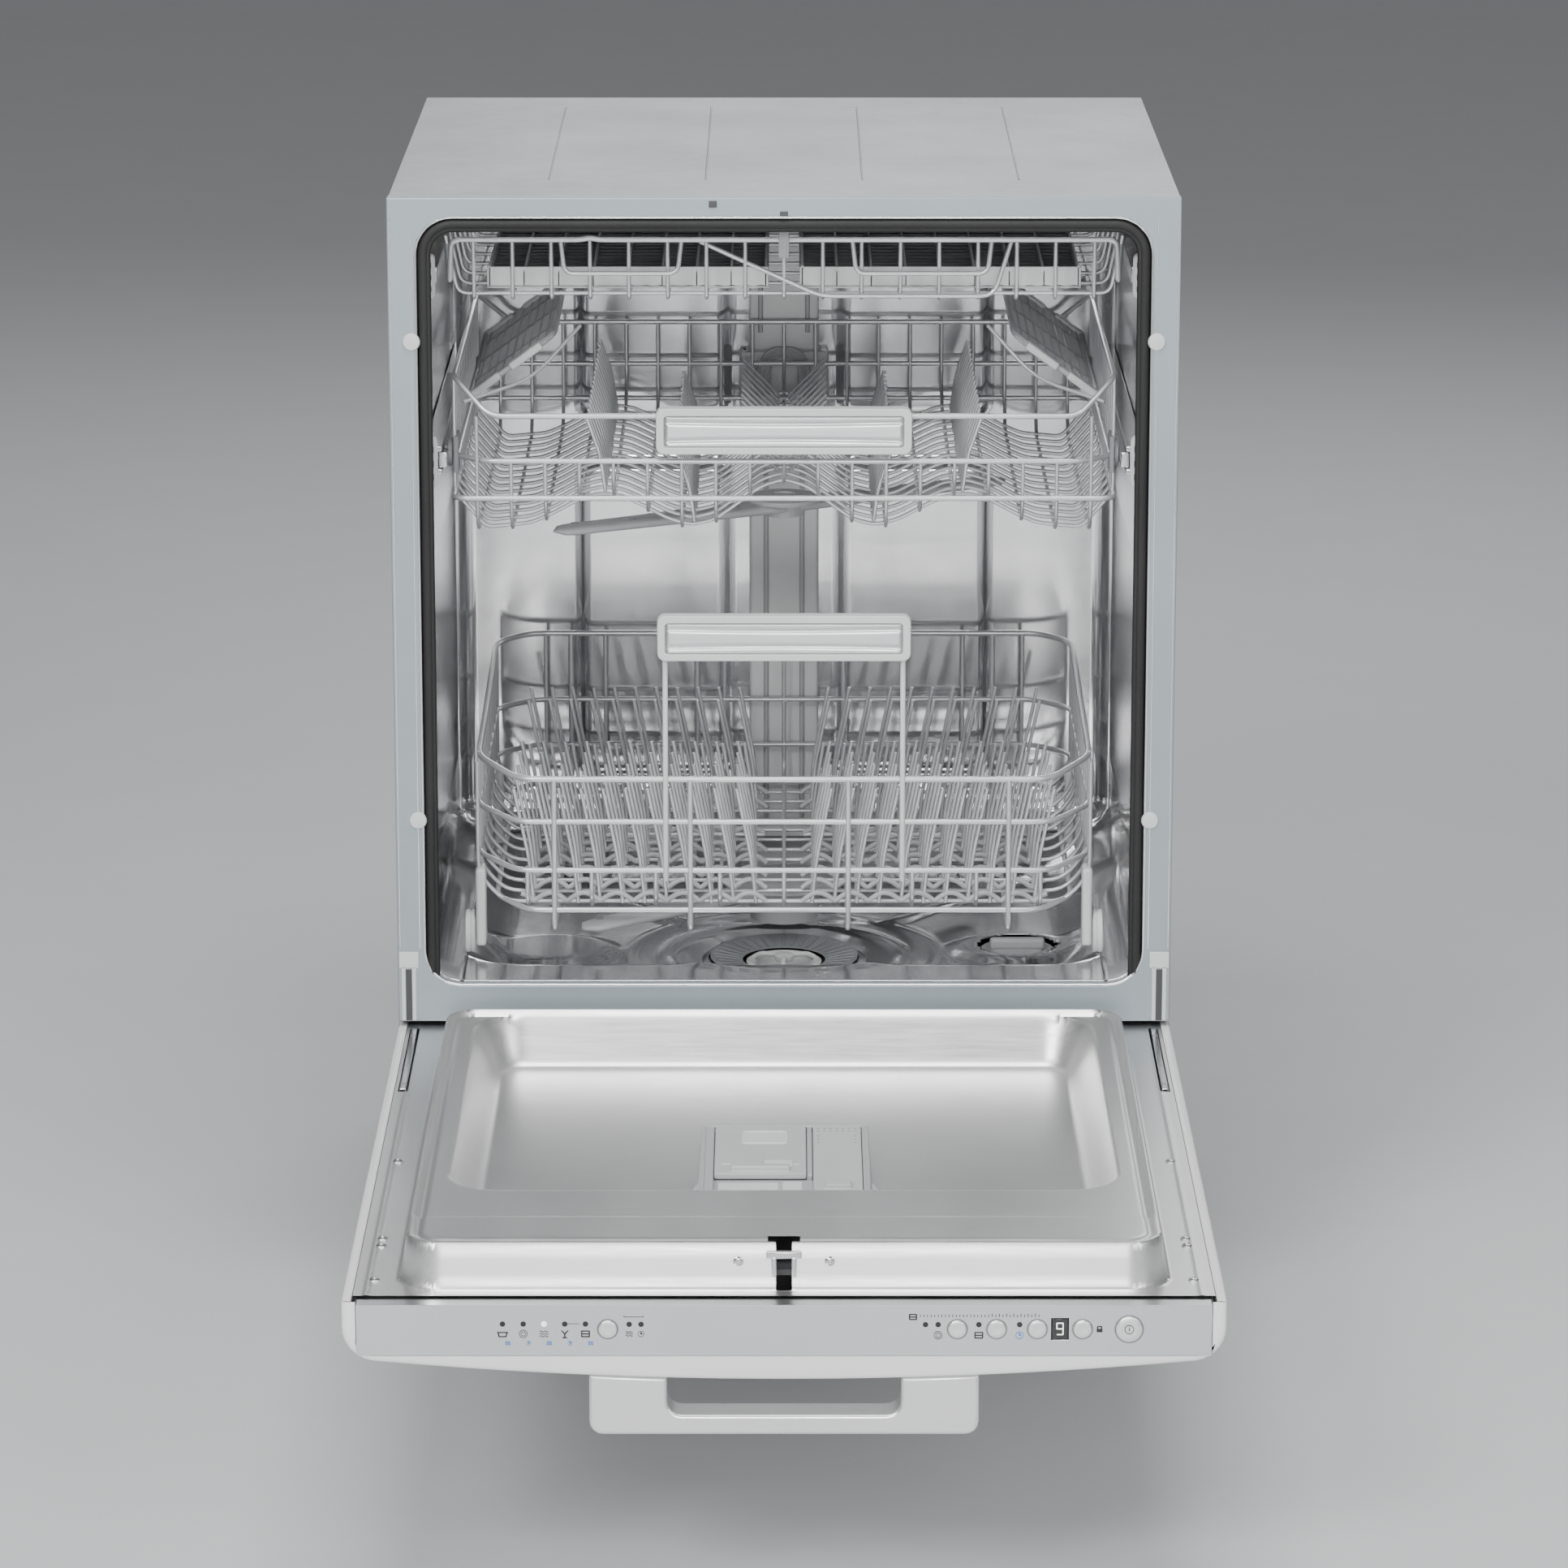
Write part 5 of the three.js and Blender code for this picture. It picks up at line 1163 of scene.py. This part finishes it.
def make_fascia():
    refined("control_fascia", "fascia", 1.0 * MM, 3)
    y = FASCIA.y0
    mid = Box("button_1").mid[2]
    ink, blue, lamps, bezels = Bundle(), Bundle(), Bundle(), Bundle()
    left = [-190, -176, -162, -148, -134]
    kinds = ["pot", "plate", "wave", "glass", "half"]
    for i, (x, kind) in enumerate(zip(left, kinds)):
        disc_mark(lamps if i == 2 else ink, x * MM, mid + 3.6 * MM, 1.9 * MM, y)
        symbol(ink, kind, x * MM, mid - 3.4 * MM, y)
        symbol(blue, "clock" if i % 2 else "wave", (x + 3.5) * MM, mid - 10 * MM, y, 0.6 * MM)
    stroke(ink, [(-147 * MM, mid + 3.8 * MM), (-138 * MM, mid + 3.8 * MM)], y, 0.25 * MM)
    stroke(ink, [(-108 * MM, mid + 9.6 * MM), (-108 * MM, mid + 8.6 * MM), (-95 * MM, mid + 8.6 * MM), (-95 * MM, mid + 9.6 * MM)], y,
           0.25 * MM)
    for x, kind in ((-104.5, "wave"), (-96.5, "clock")):
        disc_mark(ink, x * MM, mid + 3.4 * MM, 1.9 * MM, y)
        symbol(ink, kind, x * MM, mid - 3.4 * MM, y, 0.8 * MM)
    for x in (95.5, 104, 131.5, 159):
        disc_mark(ink, x * MM, mid + 3.2 * MM, 1.9 * MM, y)
    symbol(ink, "plate", 104 * MM, mid - 4.4 * MM, y)
    symbol(ink, "half", 131.5 * MM, mid - 4.4 * MM, y)
    symbol(blue, "clock", 159 * MM, mid - 4.4 * MM, y)
    symbol(ink, "lock", 213 * MM, mid, y)
    symbol(ink, "half", 87 * MM, mid + 8.6 * MM, y, 0.9 * MM)
    for x in spread(92, 172, 34):
        ink.block((x - 0.28) * MM, (x + 0.28) * MM, y - 0.2 * MM, y + 0.1 * MM, mid + 8.6 * MM,
                  mid + (10.2 if round(x) % 5 else 11) * MM)
    for i in range(1, 7):
        b = Box(f"button_{i}")
        r = b.wide / 2
        cap = Bundle()
        cap.lathe([(r, b.y1 - b.y0), (r, 0.9 * MM), (r - 0.3 * MM, 0.35 * MM), (r - 0.9 * MM, 0.05 * MM), (r * 0.5, 0.3 * MM),
                   (0.1 * MM, 0.42 * MM)], (b.mid[0], b.y0, b.mid[2]), "y", 48)
        cap.make(f"button_{i}_cap", "satin", f"button_{i}", (f"button_{i}",))
        ring_mark(bezels, b.mid[0], b.mid[2], r + 1.0 * MM, 0.7 * MM, y)
    power = Box("button_6")
    mark = Bundle()
    ring_mark(mark, power.mid[0], power.mid[2], 3.2 * MM, 0.5 * MM, power.y0 + 0.35 * MM)
    stroke(mark, [(power.mid[0], power.mid[2] + 1.6 * MM), (power.mid[0], power.mid[2] - 1.2 * MM)], power.y0 + 0.45 * MM, 0.3 * MM)
    mark.make("power_mark", "ink", "button_6")
    ink.make("fascia_marks", "ink", "door")
    blue.make("fascia_blue_marks", "blue", "door")
    lamps.make("fascia_lamp", "lamp", "door")
    bezels.make("button_seats", "dim", "door")
    refined("display", "black", 0.6 * MM)
    d = Box("display")
    digits = Bundle()
    w, hgt = 2.5 * MM, 4.4 * MM
    cx, cz = d.mid[0], d.mid[2]
    segments = [((-w, hgt), (w, hgt)), ((-w, 0), (w, 0)), ((-w, -hgt), (w, -hgt)), ((-w, hgt), (-w, 0)), ((w, hgt), (w, 0)),
                ((w, 0), (w, -hgt))]
    for (ax, az), (bx, bz) in segments:
        digits.wire([(cx + ax * 0.84, d.y0 - 0.02 * MM, cz + az * 0.92), (cx + bx * 0.84, d.y0 - 0.02 * MM, cz + bz * 0.92)],
                    0.42 * MM, 1 * MM, sides=6)
    digits.make("display_digit", "lamp", "door")


def make_handle():
    refined("door_handle", "satin", 2.2 * MM, 4)


def make_dispenser_body():
    """Housing with a border round the two lids, and a cup for the powder under the larger one."""
    d = DISPENSER
    lid, flap = Box("dispenser_lid"), Box("rinse_aid_flap")
    low, bed, top = d.z1 - 14 * MM, d.z1 - 4.5 * MM, d.z1
    cup = (lid.x0 + 8 * MM, lid.x1 - 8 * MM, lid.y0 + 40 * MM, lid.y1 - 8 * MM)
    body = Bundle()
    for x0, x1, y0, y1 in ((d.x0, cup[0], d.y0, d.y1), (cup[1], d.x1, d.y0, d.y1), (cup[0], cup[1], d.y0, cup[2]),
                           (cup[0], cup[1], cup[3], d.y1)):
        body.block(x0, x1, y0, y1, low, bed)
    body.make("dispenser_bed", "grey", "door", ("dispenser_housing",))
    rim = Bundle()
    for x0, x1, y0, y1 in ((d.x0, lid.x0 - 0.5 * MM, d.y0, d.y1), (flap.x1 + 0.5 * MM, d.x1, d.y0, d.y1),
                           (lid.x1 + 0.5 * MM, flap.x0 - 0.5 * MM, lid.y0, d.y1), (lid.x0, flap.x1, lid.y1 + 0.4 * MM, d.y1),
                           (d.x0, d.x1, d.y0, d.y0 + 4 * MM)):
        rim.block(x0, x1, y0, y1, bed - 3 * MM, top)
    rim.make("dispenser_rim", "grey", "door", bevel=1.1 * MM, segments=3)
    inner = Bundle()
    inner.block(*cup, low - 9 * MM, low - 8 * MM)
    for x0, x1, y0, y1 in ((cup[0], cup[0] + 0.8 * MM, cup[2], cup[3]), (cup[1] - 0.8 * MM, cup[1], cup[2], cup[3]),
                           (cup[0], cup[1], cup[2], cup[2] + 0.8 * MM), (cup[0], cup[1], cup[3] - 0.8 * MM, cup[3])):
        inner.block(x0, x1, y0, y1, low - 9 * MM, bed - 0.2 * MM)
    inner.make("powder_cup", "grey", "door")
    steps_ = Bundle()
    steps_.block(lid.x0 + 3 * MM, lid.x1 - 20 * MM, d.y0 + 7 * MM, lid.y0 - 5 * MM, bed - 1 * MM, bed + 0.2 * MM)
    steps_.block(lid.x1 - 17 * MM, lid.x1 - 3 * MM, d.y0 + 7 * MM, lid.y0 - 3 * MM, bed - 1 * MM, bed + 0.35 * MM)
    steps_.make("dispenser_steps", "pale", "door", bevel=0.3 * MM)


def make_dispenser():
    make_dispenser_body()
    refined("dispenser_lid", "lamp_free", 1.2 * MM, 3)
    refined("rinse_aid_flap", "lamp_free", 1.2 * MM, 3)
    lid = Box("dispenser_lid")
    flap = Box("rinse_aid_flap")
    top = lid.z1 - 4 * MM
    deep = Bundle()
    deep.block(lid.x0 + 20 * MM, lid.x1 - 14 * MM, lid.y1 - 44 * MM, lid.y1 - 16 * MM, top - 0.3 * MM, top + 0.25 * MM)
    deep.make("lid_pocket", "pale", "dispenser_lid", bevel=2 * MM, segments=3)
    lip = Bundle()
    lip.wire([(lid.x0 + 20 * MM, lid.y1 - 16 * MM, top), (lid.x0 + 20 * MM, lid.y1 - 44 * MM, top),
              (lid.x1 - 14 * MM, lid.y1 - 44 * MM, top), (lid.x1 - 14 * MM, lid.y1 - 16 * MM, top)], 0.9 * MM, 4 * MM, closed=True)
    lip.wire([(lid.x0 + 5 * MM, lid.y0 + 22 * MM, top), (lid.x1 - 5 * MM, lid.y0 + 22 * MM, top)], 0.5 * MM, 1 * MM)
    lip.block(lid.x1 - 30 * MM, lid.x1 - 10 * MM, lid.y0 + 16 * MM, lid.y0 + 26 * MM, top - 0.5 * MM, top + 2 * MM)
    lip.make("lid_lips", "pale", "dispenser_lid", bevel=0.7 * MM)
    dots = Bundle()
    for i, x in enumerate(spread(flap.x0 + 4 * MM, flap.x1 - 4 * MM, 7)):
        for y in (flap.y1 - 8 * MM, flap.y1 - 14 * MM):
            dots.lathe([(0.9 * MM, -0.3 * MM), (0.9 * MM, 0.15 * MM), (0.1 * MM, 0.2 * MM)], (x, y, flap.z1 - 3 * MM), sides=12)
        for j in range(3):
            if i in (0, 6):
                dots.lathe([(0.9 * MM, -0.3 * MM), (0.9 * MM, 0.15 * MM), (0.1 * MM, 0.2 * MM)],
                           (x, flap.y1 - (26 + 8 * j) * MM, flap.z1 - 3 * MM), sides=12)
    dots.make("flap_dots", "dim", "rinse_aid_flap")
    frame_ = Bundle()
    d = DISPENSER
    z = d.z1
    frame_.wire([(d.x0 + 2 * MM, d.y0 + 2 * MM, z - 0.5 * MM), (d.x1 - 2 * MM, d.y0 + 2 * MM, z - 0.5 * MM),
                 (d.x1 - 2 * MM, d.y1 - 2 * MM, z - 0.5 * MM), (d.x0 + 2 * MM, d.y1 - 2 * MM, z - 0.5 * MM)], 1.6 * MM, 8 * MM, closed=True)
    for s, x in ((-1, d.x0), (1, d.x1)):
        for k in range(3):
            frame_.wire([(x, d.y0 + (14 + 7 * k) * MM, z - 2 * MM), (x + s * (15 - 4 * k) * MM, d.y0 + (12 + 7 * k) * MM, z - 10 * MM)],
                        1.6 * MM, 1 * MM)
    frame_.make("dispenser_frame", "grey", "door")


def make_hinge_arms():
    for side, s in (("left", -1), ("right", 1)):
        refined(f"hinge_arm_{side}", "bright", 0.8 * MM)
        a = Box(f"hinge_arm_{side}")
        rivets = Bundle()
        x0, x1 = sorted((a.x0, a.x1))
        for y in (a.y0 + 12 * MM, a.y0 + 60 * MM, a.y1 - 22 * MM):
            rivets.lathe([(2 * MM, -0.4 * MM), (2 * MM, 0.05 * MM), (1.2 * MM, 0.2 * MM), (0.1 * MM, 0.25 * MM)],
                         (a.mid[0], y, a.z1), sides=16)
        rivets.make(f"hinge_rivets_{side}", "dim", "door")


# ---------------------------------------------------------------- body, base and what is under the tub
def make_body():
    refined("outer_casing", "galvanised", 1.2 * MM, 3)
    case = Box("outer_casing")
    folds = Bundle()
    for s in (-1, 1):
        for z in spread(case.z0 + 90 * MM, case.z1 - 90 * MM, 4):
            x = s * (case.x1 - 0.1 * MM)
            folds.wire([(x, case.y0 + 70 * MM, z), (x, case.y1 - 60 * MM, z)], 0.45 * MM, 1 * MM)
    for x in spread(-180 * MM, 180 * MM, 4):
        folds.wire([(x, case.y0 + 80 * MM, case.z1 - 0.2 * MM), (x, case.y1 - 60 * MM, case.z1 - 0.2 * MM)], 0.8 * MM, 1 * MM)
    folds.make("casing_ribs", "galvanised", "cabinet")
    screws = Bundle()
    for s in (-1, 1):
        for z in spread(case.z0 + 30 * MM, case.z1 - 30 * MM, 5):
            screws.lathe([(4 * MM, -0.4 * MM), (4 * MM, 0.3 * MM), (2.4 * MM, 0.9 * MM), (0.1 * MM, 1 * MM)],
                         (s * (case.x1 - 18 * MM), case.y1 - 1.1 * MM, z), "y", 20)
    screws.make("casing_screws", "bright", "cabinet")
    for node, look, bevel in (("base_housing", "dark", 2 * MM), ("base_front_plate", "galvanised", 1 * MM), ("sump", "dark", 1 * MM),
                              ("circulation_pump", "dim", 2 * MM), ("drain_pump", "grey", 1.5 * MM), ("softener_tank", "grey", 3 * MM),
                              ("door_spring_left", "bright", 0.5 * MM), ("door_spring_right", "bright", 0.5 * MM),
                              ):
        refined(node, look, bevel, 2)
    for node in [n for n in NODES if n.startswith("foot_")]:
        foot = Box(node)
        x, y = foot.mid[0], foot.mid[1]
        shape = Bundle()
        profile = [(17 * MM, 0), (19 * MM, 1.2 * MM), (19 * MM, 7 * MM), (17 * MM, 9 * MM), (10 * MM, 11 * MM), (6.4 * MM, 12 * MM)]
        z = 12 * MM
        while z < foot.z1 - 2 * MM:
            profile += [(6.9 * MM, z + 0.7 * MM), (6.0 * MM, z + 1.4 * MM)]
            z += 1.4 * MM
        shape.lathe(profile, (x, y, 0), sides=28)
        shape.make(node + "_leveller", "dark", node, (node,))
    rear = Bundle()
    for x, z in ((-205, 150), (-165, 150), (180, 140)):
        rear.lathe([(16 * MM, -2 * MM), (16 * MM, 0.4 * MM), (11 * MM, 0.6 * MM), (10 * MM, -1 * MM)],
                   (x * MM, Box("base_housing").y1, z * MM), "y", 28)
    rear.make("rear_sockets", "dim", "cabinet")


M["lamp_free"] = material("white_plastic_part", (0.50, 0.51, 0.51), 0.34, 0, grain_size=900, bump=0.08, shade=0.03)
make_arm("lower_spray_arm", 50 * MM, LIP + 11 * MM - Box("lower_spray_arm").z0)
make_arm("middle_spray_arm", 30 * MM, 3 * MM)
make_filter()
make_salt_cap()
make_liner()
make_latch()
make_strike()
make_panel()
make_fascia()
make_handle()
make_dispenser()
make_hinge_arms()
make_body()
